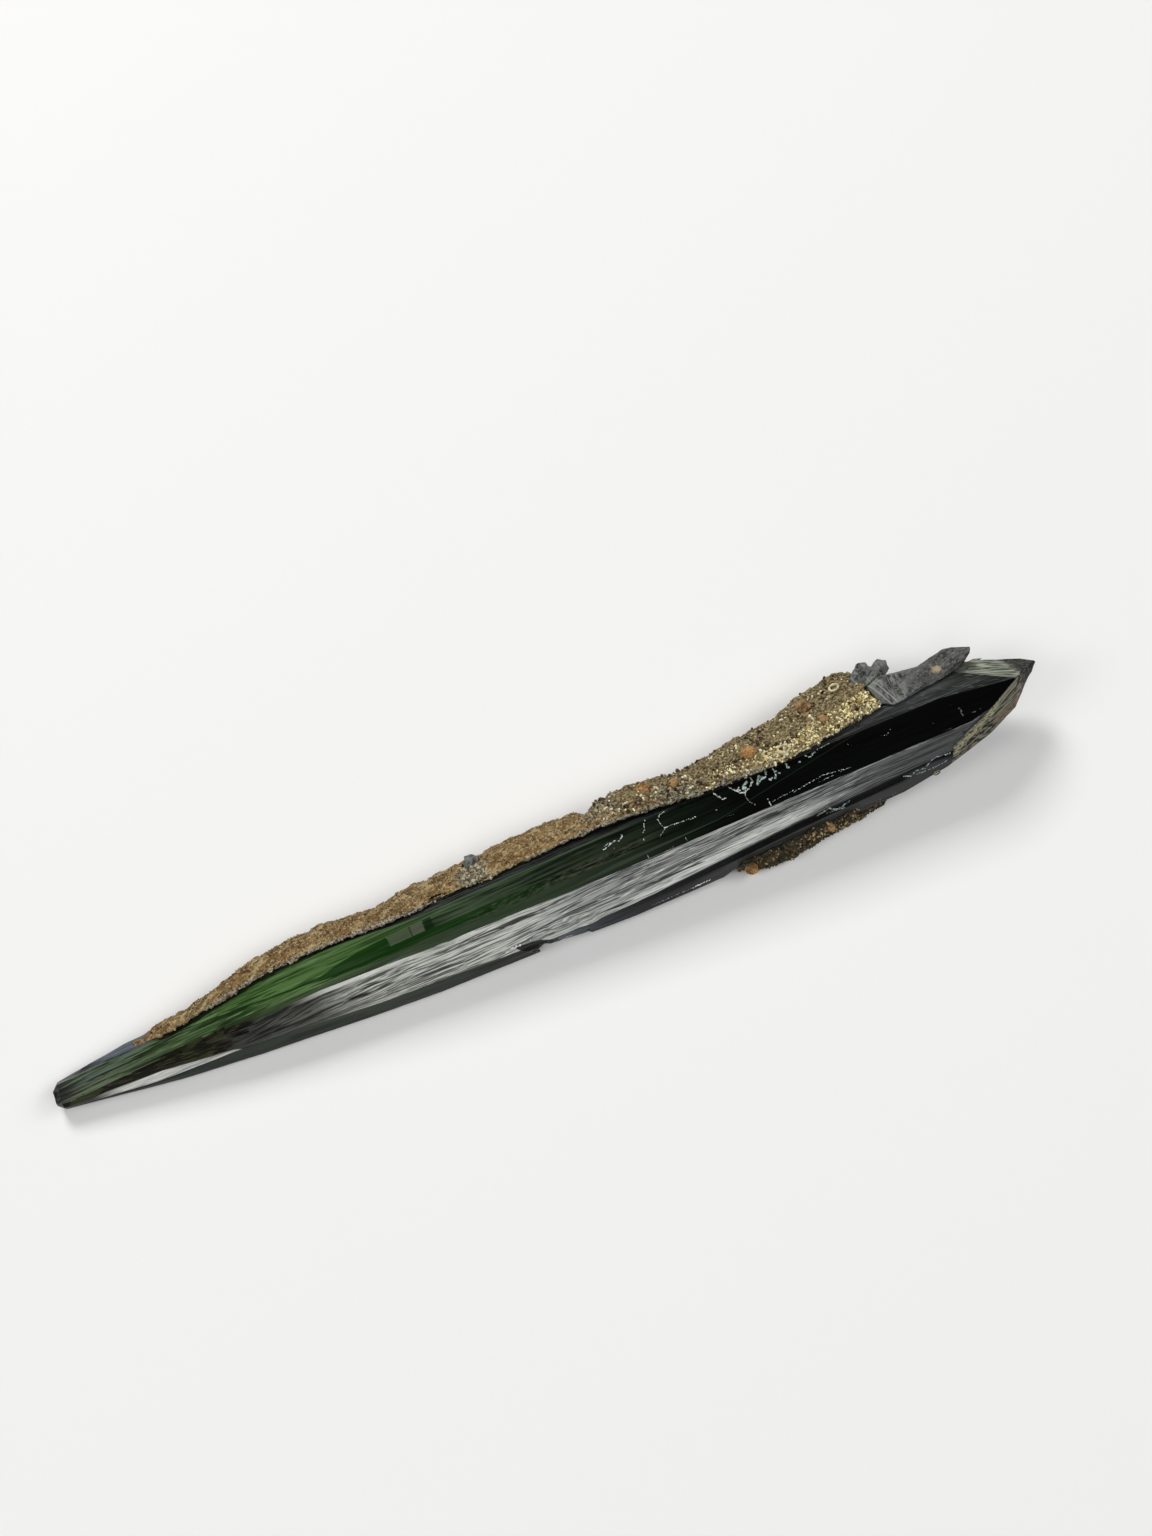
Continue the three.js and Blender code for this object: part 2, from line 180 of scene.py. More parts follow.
class Finish:
    def __init__(self, name, **constants):
        self.material = bpy.data.materials.new(name)
        self.material.use_nodes = True
        self.tree = self.material.node_tree
        self.shader = self.tree.nodes["Principled BSDF"]
        self.output = self.tree.nodes["Material Output"]
        for socket, value in constants.items():
            self.shader.inputs[socket.replace("_", " ")].default_value = value
        place = self.node("TexCoord").outputs["Object"]
        shift = [-c / MM for c in THIN_END]
        scale = (1 / MM,) * 3
        self.mm = self.node("Mapping", {"Vector": place, "Scale": scale, "Location": shift})
        self.mm = self.mm.outputs["Vector"]
        apart = self.node("SeparateXYZ", {"Vector": self.mm}).outputs
        self.x, self.y, self.z = apart["X"], apart["Y"], apart["Z"]

    def node(self, kind, inputs=None, **settings):
        made = self.tree.nodes.new("ShaderNode" + kind)
        for key, value in settings.items():
            setattr(made, key, value)
        for key, value in (inputs or {}).items():
            if isinstance(value, bpy.types.NodeSocket):
                self.tree.links.new(value, made.inputs[key])
            else:
                made.inputs[key].default_value = value
        return made

    def math(self, operation, first, second):
        return self.node("Math", {0: first, 1: second}, operation=operation).outputs[0]

    def both(self, first, second, *more):
        """All of several masks at once."""
        made = self.math("MULTIPLY", first, second)
        return self.both(made, *more) if more else made

    def either(self, first, second, *more):
        """The strongest of several masks."""
        made = self.math("MAXIMUM", first, second)
        return self.either(made, *more) if more else made

    def stretch(self, scale, turn=0.0, shift=(0, 0, 0)):
        """Millimetre coordinates, turned about Z in degrees, then scaled."""
        turned = self.node("Mapping", {"Vector": self.mm, "Rotation": (0, 0, math.radians(turn))})
        sized = self.node("Mapping", {
            "Vector": turned.outputs["Vector"], "Scale": scale, "Location": shift})
        return sized.outputs["Vector"]

    def noise(self, vector, scale=1.0, detail=4.0, roughness=0.55):
        return self.node("TexNoise", {
            "Vector": vector, "Scale": scale, "Detail": detail, "Roughness": roughness,
        }).outputs["Fac"]

    def streaks(self, across, length, width, climb=0.0, seed=0.0, detail=3):
        """Streaks so many millimetres long and wide on a flat of the blade, from 0 to 1.
        Across is the distance over the flat, and climb how far they rise for each millimetre."""
        level = self.math("SUBTRACT", across, self.math("MULTIPLY", self.x, climb))
        vector = self.node("CombineXYZ", {
            "X": self.math("DIVIDE", self.x, length), "Y": self.math("DIVIDE", level, width),
            "Z": seed}).outputs[0]
        return self.noise(vector, detail=detail, roughness=0.6)

    def cells(self, vector, scale=1.0, feature="F1"):
        return self.node("TexVoronoi", {"Vector": vector, "Scale": scale}, feature=feature).outputs

    def step(self, value, low, high, to_low=0.0, to_high=1.0):
        """A smooth rise from to_low to to_high while value goes from low to high."""
        return self.node("MapRange", {
            "Value": value, "From Min": low, "From Max": high, "To Min": to_low,
            "To Max": to_high}, interpolation_type="SMOOTHSTEP").outputs["Result"]

    def band(self, value, low, high, edge):
        """1 between low and high, fading out over edge on both sides."""
        rise = self.step(value, low - edge, low + edge)
        fall = self.step(value, high - edge, high + edge, 1.0, 0.0)
        return self.math("MULTIPLY", rise, fall)

    def ramp(self, value, stops):
        made = self.node("ValToRGB", {"Fac": value})
        elements = made.color_ramp.elements
        while len(elements) < len(stops):
            elements.new(1.0)
        for element, (place, colour) in zip(elements, stops):
            element.position = place
            element.color = colour
        return made.outputs["Color"]

    def over_x(self, stops):
        """Colours along the blade: stops of (x in millimetres, colour)."""
        share = self.math("DIVIDE", self.x, BLADE_LENGTH)
        return self.ramp(share, [(x / BLADE_LENGTH, colour) for x, colour in stops])

    def over(self, value, line):
        """How far value is above a line of (x, value) points along the blade."""
        greys = [(x, ((v / LINE_RANGE + 0.5),) * 3 + (1.0,)) for x, v in line]
        height = self.math("MULTIPLY", self.math("SUBTRACT", self.over_x(greys), 0.5), LINE_RANGE)
        return self.math("SUBTRACT", value, height)

    def between(self, value, low, high, edge):
        """1 between two lines of (x, value) points, fading over edge."""
        rise = self.step(self.over(value, low), -edge, edge)
        fall = self.step(self.over(value, high), -edge, edge, 1.0, 0.0)
        return self.math("MULTIPLY", rise, fall)

    def ragged(self, value, amount, vector=None):
        """The value, shifted here and there by a noise of this amount."""
        wander = self.noise(vector or self.stretch((0.5, 1.5, 1.5)), detail=4, roughness=0.6)
        wander = self.math("MULTIPLY", self.math("SUBTRACT", wander, 0.5), 2.0 * amount)
        return self.math("ADD", value, wander)

    def spot(self, across, up, size, wander):
        """A ragged round spot, 1 where across and up are both near 0 millimetres."""
        off = self.node("CombineXYZ", {"X": across, "Y": up}).outputs[0]
        distance = self.node("VectorMath", {0: off}, operation="LENGTH").outputs["Value"]
        distance = self.ragged(distance, wander, self.stretch((2.2, 2.2, 2.2)))
        return self.step(distance, size, size * 0.3)

    def mix(self, share, first, second):
        return self.node("Mix", {0: share, 6: first, 7: second}, data_type="RGBA").outputs[2]

    def paint(self, colour, mask, share, coat):
        """Lays the colour coat over a colour, at most share strong, where mask is 1."""
        return self.mix(self.math("MULTIPLY", mask, share), colour, coat)

    def bump(self, height, distance, strength, under=None):
        inputs = {"Height": height, "Distance": distance * MM, "Strength": strength}
        if under is not None:
            inputs["Normal"] = under
        return self.node("Bump", inputs).outputs["Normal"]

    def use(self, **sockets):
        for name, value in sockets.items():
            self.tree.links.new(value, self.shader.inputs[name.replace("_", " ")])
        return self.material


# %% [markdown]
# ## Working on a copy
# The solids themselves are never changed. A piece starts as a merged copy of its solid, gets
# finer faces and a real surface, and then takes the solid's place.

# %% Helpers for pieces
MERGE_GAP = 0.002
X, Y, Z = range(3)


def work_on(piece):
    """Deselects everything, then makes piece the one object that operators act on."""
    bpy.ops.object.select_all(action="DESELECT")
    piece.select_set(True)
    bpy.context.view_layer.objects.active = piece


def copy_of(node, name):
    piece = bpy.data.objects.new(name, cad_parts[node].data.copy())
    bpy.context.scene.collection.objects.link(piece)
    piece.data.materials.clear()
    work_on(piece)
    bpy.ops.object.mode_set(mode="EDIT")
    bpy.ops.mesh.select_all(action="SELECT")
    bpy.ops.mesh.remove_doubles(threshold=MERGE_GAP * MM)
    bpy.ops.object.mode_set(mode="OBJECT")
    return piece


def slice_up(piece, axis, low, high, step):
    """Cuts the faces along planes across one axis, step millimetres apart."""
    work_on(piece)
    bpy.ops.object.mode_set(mode="EDIT")
    normal = [0.0, 0.0, 0.0]
    normal[axis] = 1.0
    place = low
    while place < high:
        bpy.ops.mesh.select_all(action="SELECT")
        where = at(place, place, place)
        bpy.ops.mesh.bisect(plane_co=where, plane_no=normal, use_fill=False)
        place += step
    bpy.ops.object.mode_set(mode="OBJECT")


def apply_all(piece):
    work_on(piece)
    for modifier in list(piece.modifiers):
        bpy.ops.object.modifier_apply(modifier=modifier.name)


def texture(name, kind, size, **settings):
    made = bpy.data.textures.new(name, kind)
    made.noise_scale = size
    for key, value in settings.items():
        setattr(made, key, value)
    return made


def roughen(piece, pattern, height, stretch=(1, 1, 1), middle=0.5, group=""):
    """Moves the surface by a pattern, which an empty's scale can stretch along an axis."""
    guide = bpy.data.objects.new("pattern guide", None)
    bpy.context.scene.collection.objects.link(guide)
    guide.scale = [MM * s for s in stretch]
    bpy.context.view_layer.update()
    modifier = piece.modifiers.new("relief", "DISPLACE")
    modifier.texture = pattern
    modifier.texture_coords = "OBJECT"
    modifier.texture_coords_object = guide
    modifier.strength = height * MM
    modifier.mid_level = middle
    modifier.vertex_group = group
    apply_all(piece)
    bpy.data.objects.remove(guide)


def keep_above_floor(piece):
    for corner in piece.data.vertices:
        corner.co.z = max(corner.co.z, 0.0)


def even_net(piece, voxel):
    """Turns a piece into an even net of faces, each a voxel of so many millimetres wide."""
    remesh = piece.modifiers.new("even net", "REMESH")
    remesh.mode = "VOXEL"
    remesh.voxel_size = voxel * MM
    apply_all(piece)


def settle(piece, slot, *replaced):
    """Gives a finished piece its body and hides the solids that it stands for. The slot is not
    used.
    """
    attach(piece, "root")
    if replaced:
        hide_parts(*replaced)
    print(f"{piece.name}: {len(piece.data.polygons)} faces")


# %% [markdown]
# ## The blade
# The real faces are flat but ribbed: vivianite grows in long parallel steps, so every face has
# ridges that run its whole length. Cutting the copy into narrow strips gives room for them.
# Cutting with planes keeps every crisp edge where it is, which a remesh would not.

# %% Cut the blade into strips
blade = copy_of("main_crystal", "blade")
slice_up(blade, X, low=1.0, high=111.0, step=1.0)
slice_up(blade, Y, low=-6.6, high=3.6, step=0.28)
slice_up(blade, Z, low=0.3, high=8.4, step=0.3)

# %% [markdown]
# ## Which face is which
# Each flat of the blade has its own look, so each gets its own finish. The creases between the
# flats run the length of the blade, and a face belongs to the flat between two creases. This is
# done before the ribs are raised, while every face still lies exactly in its flat.

# %% Sort the faces
BACK_CREASE = [(0, 1.6), (8, 2.2), (16, 2.1), (24, 2.6), (40, 2.4), (81, 1.6), (96, 1.5),
               (103, 1.74), (107.8, -1.5), (112, -1.5)]
TOP_BACK = [(0, 1.2), (12, 0.9), (24, 2.1), (30, 1.9), (40, 1.0), (60, 0.8), (81, -0.1),
            (99, -0.4), (107.8, -1.6), (112, -1.6)]
TOP_FRONT = [(0, -0.9), (14, -1.7), (28, -1.8), (40, -2.6), (60, -3.4), (81, -3.9), (101, -4.2),
             (104, -3.55), (107.8, -1.75), (112, -1.75)]
CLEAVAGE_FOOT = [(0, 0.9), (9.8, 1.4), (18, 1.8), (34, 2.5), (46, 2.8), (55, 3.0), (65, 3.4),
                 (80, 4.2), (98.9, 4.9), (99, 6.3), (103, 8.7), (112, 8.7)]
SHELF_EDGE = [(0, 0.6), (12, 1.1), (34, 1.7), (52, 1.9), (65, 2.4), (82, 3.1), (98.5, 4.1)]
CRUST_EDGE = [(9, 1.7), (12.3, 0.9), (24, 2.2), (30, 2.2), (47.5, 1.4), (60, 2.0), (70.7, 0.5),
              (81, 0.0), (89, 1.0), (93.5, 1.8)]
FLANK_FOOT = [(0, 1.6), (10.6, 2.55), (18, 3.3), (22, 5.0)]
FLATS = ("top", "bevel", "cleavage", "ledge", "wall", "underside", "point", "flank", "blunt end")
TOP, BEVEL, CLEAVAGE, LEDGE, WALL, UNDERSIDE, POINT, FLANK, BLUNT_END = range(len(FLATS))
BLUNT_TO, FLANK_TO = 3.5, 22
FRONT_POINT, BACK_POINT, TIP = 99, 103, 107.8
FACES_DOWN, FACES_UP, FACES_END = -0.3, 0.3, -0.35


def flat_of(normal, place):
    if normal.z < FACES_DOWN:
        return UNDERSIDE
    if normal.x < FACES_END and place.x < BLUNT_TO:
        return BLUNT_END
    if place.x > TIP:
        return POINT
    if place.y > along(BACK_CREASE, place.x):
        return POINT if place.x > BACK_POINT else WALL
    if place.y > along(TOP_BACK, place.x):
        return BEVEL
    if place.y > along(TOP_FRONT, place.x) and normal.z > FACES_UP:
        return TOP
    if place.z > along(CLEAVAGE_FOOT, place.x):
        brown = place.x < FLANK_TO and place.z > along(FLANK_FOOT, place.x)
        return FLANK if brown else CLEAVAGE
    if place.x > FRONT_POINT:
        return POINT
    return LEDGE if place.z > along(SHELF_EDGE, place.x) else WALL


counts = [0] * len(FLATS)
for face in blade.data.polygons:
    face.material_index = flat_of(face.normal, from_end(face.center))
    counts[face.material_index] += 1
print("faces in each flat:", dict(zip(FLATS, counts)))

# %% [markdown]
# ## Ribs and the broken chip
# A cloud pattern stretched forty times along the blade raises the ribs by a few hundredths of a
# millimetre, and a shorter one adds small chips. Where the ledge broke off, the break is hollow
# and shelly like broken glass, so only those corners get a third pattern of rounded cells.

# %% Raise the ribs
CHIP_X = (49.0, 57.0)
CHIP_Y = -4.9
broken = blade.vertex_groups.new(name="broken")
chip = [corner.index for corner in blade.data.vertices
        if CHIP_X[0] < from_end(corner.co).x < CHIP_X[1] and from_end(corner.co).y < CHIP_Y]
broken.add(chip, 1.0, "REPLACE")
print("corners in the break:", len(chip))
ribs = texture("ribs", "CLOUDS", 0.7, noise_depth=2)
roughen(blade, ribs, height=0.10, stretch=(40, 1, 1))
chips = texture("chips", "CLOUDS", 1.4, noise_depth=3)
roughen(blade, chips, height=0.05, stretch=(3, 1, 1))
shells = texture("shells", "VORONOI", 0.9)
roughen(blade, shells, height=0.30, group="broken")
keep_above_floor(blade)

# %% [markdown]
# ## Green glass
# The top is the clearest flat: glassy, green where the blade is thin and nearly black where it
# is thick, because green is the last colour that the crystal absorbs. Part of the light goes
# through, with an index of refraction of 1.6 and a green absorption, and the rest of the colour
# is laid on and darkens along the blade. Long dark and pale streaks follow the growth, fine ones
# over middling ones, and most flats of the blade use one of the two or both.

# %% The glass and its streaks
CRYSTAL_IOR = 1.6
ABSORBED = srgb(0.22, 0.78, 0.38)
ABSORPTION = 600.0


def fill_with_green(finish):
    inside = finish.node("VolumeAbsorption")
    inside.inputs["Color"].default_value = ABSORBED
    inside.inputs["Density"].default_value = ABSORPTION
    finish.tree.links.new(inside.outputs["Volume"], finish.output.inputs["Volume"])


def fine_streaks(finish, across, climb=0.0):
    return finish.streaks(across, 7.0, 0.26, climb, seed=1.0)


def middling_streaks(finish, across, climb=0.0):
    return finish.streaks(across, 14.0, 0.75, climb, seed=2.0)


def crystal_surface(finish, colour, rough, normal):
    fill_with_green(finish)
    return finish.use(Base_Color=colour, Roughness=rough, Normal=normal)


# %% [markdown]
# ## Growth colours
# The top is grey green at the thin end, greenest at x = 20 to 40 and black past x = 76. Two
# ramps give the pale and the dark colour along the blade, and the streaks choose between them.

# %% Colours along the top


def growth_colour(f, streaks):
    light = f.over_x([
        (0, srgb(0.34, 0.36, 0.33)),
        (5, srgb(0.42, 0.47, 0.38)),
        (12, srgb(0.34, 0.44, 0.29)),
        (20, srgb(0.35, 0.48, 0.27)),
        (30, srgb(0.40, 0.51, 0.33)),
        (38, srgb(0.33, 0.40, 0.29)),
        (46, srgb(0.27, 0.33, 0.24)),
        (60, srgb(0.17, 0.21, 0.15)),
        (68, srgb(0.06, 0.11, 0.06)),
        (76, srgb(0.02, 0.035, 0.025)),
        (112, srgb(0.005, 0.006, 0.005)),
    ])
    dark = f.over_x([
        (0, srgb(0.14, 0.14, 0.14)),
        (10, srgb(0.17, 0.20, 0.14)),
        (22, srgb(0.12, 0.22, 0.09)),
        (34, srgb(0.12, 0.22, 0.10)),
        (46, srgb(0.10, 0.15, 0.11)),
        (60, srgb(0.06, 0.08, 0.06)),
        (76, srgb(0.015, 0.02, 0.015)),
        (112, srgb(0.006, 0.007, 0.006)),
    ])
    return f.mix(f.step(streaks, 0.43, 0.56), dark, light)


# %% [markdown]
# ## Streaks and bands on the top
# A vivid green band with darker threads lies in the middle of the flat, and a few blue grey
# streaks near the thin end. The front strip is matt, and a thin deep green line parts the two.
# Each mark is a mask between two lines, painted over the colour so far.

# %% Marks along the top


def with_green_streaks(f, colour, y, fine):
    vivid = f.between(y, [(0, 1.0), (18, 0.6), (26, -0.9), (34, -0.1), (44, 0.7), (112, 0.7)],
                      [(0, 1.0), (18, 2.6), (40, 1.6), (44, 0.8), (112, 0.7)], 0.3)
    colour = f.paint(colour, f.both(vivid, f.step(fine, 0.36, 0.56, 0.35, 1.0)), 0.72,
                     srgb(0.35, 0.50, 0.26))
    threads = f.streaks(f.y, 5.0, 0.30, climb=-0.01, seed=5.0, detail=2)
    colour = f.paint(colour, f.both(f.step(threads, 0.57, 0.63), f.step(f.x, 34, 24)), 0.75,
                     srgb(0.05, 0.10, 0.03))
    colour = f.paint(colour, f.both(f.step(threads, 0.42, 0.37), f.step(f.x, 36, 26)), 0.65,
                     srgb(0.48, 0.58, 0.40))
    blue_streaks = f.both(f.band(f.x, 2.5, 10, 1.5), f.band(f.y, 0.1, 1.1, 0.2),
                          f.step(fine, 0.47, 0.56))
    return f.paint(colour, blue_streaks, 0.7, srgb(0.40, 0.46, 0.44))


def with_front_strip(f, colour, y):
    matt_front = f.between(y, [(0, -9), (112, -9)],
                           [(0, -1.2), (20, -1.0), (28, -1.4), (56, -1.7), (66, -2.4), (72, -9),
                            (112, -9)], 0.15)
    colour = f.paint(colour, matt_front, 0.75, f.over_x([
        (0, srgb(0.10, 0.10, 0.09)), (14, srgb(0.16, 0.16, 0.13)), (24, srgb(0.22, 0.26, 0.19)),
        (48, srgb(0.22, 0.28, 0.20)), (58, srgb(0.19, 0.23, 0.17)), (68, srgb(0.06, 0.09, 0.06)),
    ]))

    deep = f.between(y, [(0, 2), (28, -0.8), (30, -1.18), (40, -1.54), (50, -1.73), (56, -1.2),
                         (112, 2)],
                     [(0, 2), (28, -0.6), (30, -0.1), (33, 0.3), (36, 0.45), (36.1, -0.65),
                      (40, -0.7), (52, -0.95), (56, -1.2), (112, 2)], 0.05)
    breaks = f.noise(f.stretch((1.1, 2.5, 2.5)), detail=3)
    breaks = f.step(f.math("ADD", breaks, f.step(f.x, 44, 54, 0.25, -0.1)), 0.42, 0.52)
    return f.paint(colour, f.both(deep, breaks), 0.9, srgb(0.07, 0.22, 0.04))


# %% [markdown]
# ## The pale block
# Where the blade has cracked across, the light comes back from the crack, so a pale block with
# straight ends stands in the green. A painted highlight lies as a pale line along the back edge,
# and fine pale lines and mottling follow the front edge.

# %% The block and the lines at the edges


def with_pale_block(f, colour, y, fine):
    block = f.both(f.band(f.x, 36.0, 39.8, 0.06), f.band(y, -0.66, 0.42, 0.05))
    block_lines = f.band(f.x, 38.35, 38.5, 0.08)
    block_colour = f.mix(f.step(f.x, 38.2, 38.5), srgb(0.35, 0.41, 0.31), srgb(0.40, 0.42, 0.36))
    block_colour = f.mix(f.step(fine, 0.44, 0.58, 0.0, 0.5), block_colour, srgb(0.20, 0.25, 0.16))
    colour = f.paint(colour, block, 0.78, block_colour)
    colour = f.paint(colour, f.both(block, block_lines), 0.8, srgb(0.12, 0.18, 0.10))
    dark_cell = f.both(f.band(f.x, 39.9, 40.8, 0.06), f.band(y, -0.7, 0.42, 0.05))
    over_block = f.both(f.band(f.x, 33, 41.5, 1.0), f.band(y, 0.50, 0.95, 0.12))
    colour = f.paint(colour, over_block, 0.6, srgb(0.12, 0.20, 0.10))
    return f.paint(colour, dark_cell, 0.85, srgb(0.07, 0.15, 0.06))


def with_edge_lines(f, colour, y, fine):
    # Painted highlight: a pale line along the back crease of the top at x = 34 to 62.
    back_edge_highlight = f.both(f.band(f.over(f.y, TOP_BACK), -0.16, 0.3, 0.06), f.band(f.x, 34, 62, 3.0))
    colour = f.paint(colour, back_edge_highlight, 0.7, srgb(0.33, 0.38, 0.32))
    olive = f.both(f.band(f.x, 54, 64, 3.0), f.band(y, -2.0, -1.1, 0.2), f.step(fine, 0.48, 0.56))
    colour = f.paint(colour, olive, 0.7, srgb(0.29, 0.30, 0.24))
    speckle = f.noise(f.stretch((1.1, 5.0, 5.0)), detail=4, roughness=0.75)
    mottled = f.both(f.band(f.x, 45, 63, 2.5), f.band(y, -1.95, -1.0, 0.12))
    colour = f.paint(colour, f.both(mottled, f.step(speckle, 0.53, 0.60)), 0.6,
                     srgb(0.33, 0.35, 0.28))
    colour = f.paint(colour, f.both(mottled, f.step(speckle, 0.48, 0.42)), 0.8,
                     srgb(0.04, 0.07, 0.03))
    pale_strip = f.between(f.y, [(0, 3), (54, -3.0), (60, -2.95), (72, -2.75), (112, 3)],
                           [(0, 3), (54, -3.0), (60, -2.5), (72, -2.72), (112, 3)], 0.06)
    return f.paint(colour, pale_strip, 0.8, srgb(0.24, 0.29, 0.23))


# %% [markdown]
# ## The whole top
# The marks go on one after another. Then the crust's dark seam, the shade of the blunt end and
# the brown-black blocks along the front are laid over them, and the streaks give the relief.

# %% The top face


def brown_black(f):
    """Nearly black brown with a few olive blocks and thin tan threads."""
    blocks = f.cells(f.stretch((0.45, 1.6, 1.6), 0.0, (1, 4, 2)))["Color"]
    chance = f.node("SeparateColor", {"Color": blocks}).outputs["Red"]
    thread = f.noise(f.stretch((0.5, 6.0, 6.0), 4.0), detail=3)
    colour = f.mix(f.step(chance, 0.64, 0.72), srgb(0.09, 0.09, 0.065), srgb(0.19, 0.21, 0.13))
    return f.paint(colour, f.step(thread, 0.55, 0.63), 0.45, srgb(0.34, 0.32, 0.22))


def green_top():
    f = Finish("green glass", IOR=CRYSTAL_IOR, Transmission_Weight=0.35, Specular_IOR_Level=0.35)
    fine = fine_streaks(f, f.y, climb=-0.015)
    middling = middling_streaks(f, f.y, climb=-0.015)
    y = f.ragged(f.y, 0.10)
    streaks = f.math("ADD", f.math("MULTIPLY", middling, 0.5), f.math("MULTIPLY", fine, 0.5))
    colour = growth_colour(f, streaks)
    colour = with_green_streaks(f, colour, y, fine)
    colour = with_front_strip(f, colour, y)
    colour = with_pale_block(f, colour, y, fine)
    colour = with_edge_lines(f, colour, y, fine)

    seam = f.both(f.step(f.ragged(f.over(f.y, CRUST_EDGE), 0.12), -0.42, -0.30),
                  f.band(f.x, 11, 36, 1.0))
    colour = f.paint(colour, seam, 0.9, srgb(0.03, 0.035, 0.03))
    end_shade = f.step(f.ragged(f.x, 1.2), 0.6, 3.0, 0.7, 0.0)
    colour = f.mix(end_shade, colour, srgb(0.17, 0.17, 0.17))
    stepped = f.cells(f.stretch((0.35, 0.5, 0.5)))["Color"]
    stepped = f.node("SeparateColor", {"Color": stepped}).outputs["Green"]
    front_y = f.math("ADD", f.y, f.math("MULTIPLY", stepped, 0.45))
    front_brown = f.both(f.step(front_y, -0.80, -0.86), f.band(f.x, 1, 21, 1.0))
    colour = f.paint(colour, front_brown, 0.95, brown_black(f))

    normal = f.bump(middling, 0.05, 0.5)
    normal = f.bump(fine, 0.02, 0.35, normal)
    rough = f.step(streaks, 0.35, 0.65, 0.10, 0.20)
    return crystal_surface(f, colour, rough, normal)


# %% [markdown]
# ## The back bevel
# A narrow flat slopes from the top down to the crust. It is black and finely lined in the
# middle of the blade, blue grey at the thin end and grey with scratches towards the point.

# %% The bevel


def lined_bevel():
    f = Finish("lined bevel", IOR=CRYSTAL_IOR, Transmission_Weight=0.15)
    middling = middling_streaks(f, f.y)
    hair = f.streaks(f.y, 6.0, 0.14, climb=-0.01, seed=3.0)
    dark = f.over_x([
        (0, srgb(0.10, 0.11, 0.12)), (12, srgb(0.09, 0.10, 0.10)), (26, srgb(0.06, 0.09, 0.05)),
        (40, srgb(0.03, 0.035, 0.04)), (72, srgb(0.03, 0.035, 0.04)),
        (84, srgb(0.10, 0.105, 0.11)), (104, srgb(0.12, 0.125, 0.12)),
    ])
    light = f.over_x([
        (0, srgb(0.20, 0.22, 0.23)), (10, srgb(0.24, 0.26, 0.28)), (14, srgb(0.16, 0.17, 0.17)),
        (26, srgb(0.20, 0.30, 0.16)), (34, srgb(0.15, 0.19, 0.15)), (70, srgb(0.14, 0.16, 0.16)),
        (84, srgb(0.26, 0.27, 0.27)), (96, srgb(0.27, 0.28, 0.28)), (106, srgb(0.22, 0.24, 0.22)),
    ])
    lines = f.math("ADD", f.math("MULTIPLY", middling, 0.5), f.math("MULTIPLY", hair, 0.5))
    colour = f.mix(f.step(lines, 0.42, 0.58), dark, light)
    weathered = f.both(f.band(f.ragged(f.x, 1.5), 5.0, 12.5, 1.0),
                       f.step(f.ragged(f.over(f.y, TOP_BACK), 0.2), 0.25, 0.4))
    colour = f.paint(colour, weathered, 0.85, srgb(0.35, 0.38, 0.42))
    scratches = f.noise(f.stretch((0.5, 6.0, 6.0), 24.0), detail=2)
    scratched = f.both(f.step(scratches, 0.60, 0.66), f.step(f.x, 90, 97))
    colour = f.paint(colour, scratched, 0.7, srgb(0.38, 0.39, 0.39))
    normal = f.bump(middling, 0.06, 0.6)
    normal = f.bump(hair, 0.02, 0.4, normal)
    rough = f.step(hair, 0.3, 0.7, 0.18, 0.36)
    return crystal_surface(f, colour, rough, normal)


# %% [markdown]
# ## Silver cleavage
# The steep front flat is a cleavage. Thousands of hair-thin air gaps behind it turn it silver,
# in streaks that fan a few degrees off the blade's own direction. The light comes back from
# those gaps, so this flat is a grey, silky shader that lets none through.

# %% Silver colours and the break


def chipped(f):
    """The black lens of the break, from the end of the low ledge into the cleavage."""
    height = f.ragged(f.z, 0.10, f.stretch((1.5, 1.5, 1.5)))
    return f.between(height, [(0, 9), (47.2, 3.45), (47.9, 3.05), (48.5, 2.2), (49.0, 1.0),
                              (49.2, -1.0), (52.0, -1.0), (52.4, 3.0), (112, 9)],
                     [(0, 3.3), (47.2, 3.45), (49.2, 3.35), (50.2, 3.2), (51.2, 2.95), (52.4, 2.2),
                      (112, 2.2)], 0.06)


def silver_colour(f, strength):
    pale = f.over_x([
        (0, srgb(0.22, 0.22, 0.21)), (18, srgb(0.24, 0.24, 0.22)), (27, srgb(0.38, 0.39, 0.36)),
        (34, srgb(0.84, 0.85, 0.81)), (48, srgb(0.84, 0.85, 0.82)), (56, srgb(0.70, 0.71, 0.69)),
        (78, srgb(0.64, 0.65, 0.64)), (84, srgb(0.50, 0.51, 0.51)), (92, srgb(0.38, 0.39, 0.39)),
        (104, srgb(0.26, 0.27, 0.27)),
    ])
    dark = f.over_x([
        (0, srgb(0.06, 0.06, 0.05)), (18, srgb(0.08, 0.08, 0.07)), (26, srgb(0.13, 0.13, 0.12)),
        (34, srgb(0.34, 0.35, 0.33)), (60, srgb(0.28, 0.29, 0.29)), (80, srgb(0.16, 0.17, 0.17)),
        (88, srgb(0.07, 0.075, 0.075)), (104, srgb(0.05, 0.05, 0.05)),
    ])
    return f.mix(f.step(strength, 0.43, 0.57), dark, pale)


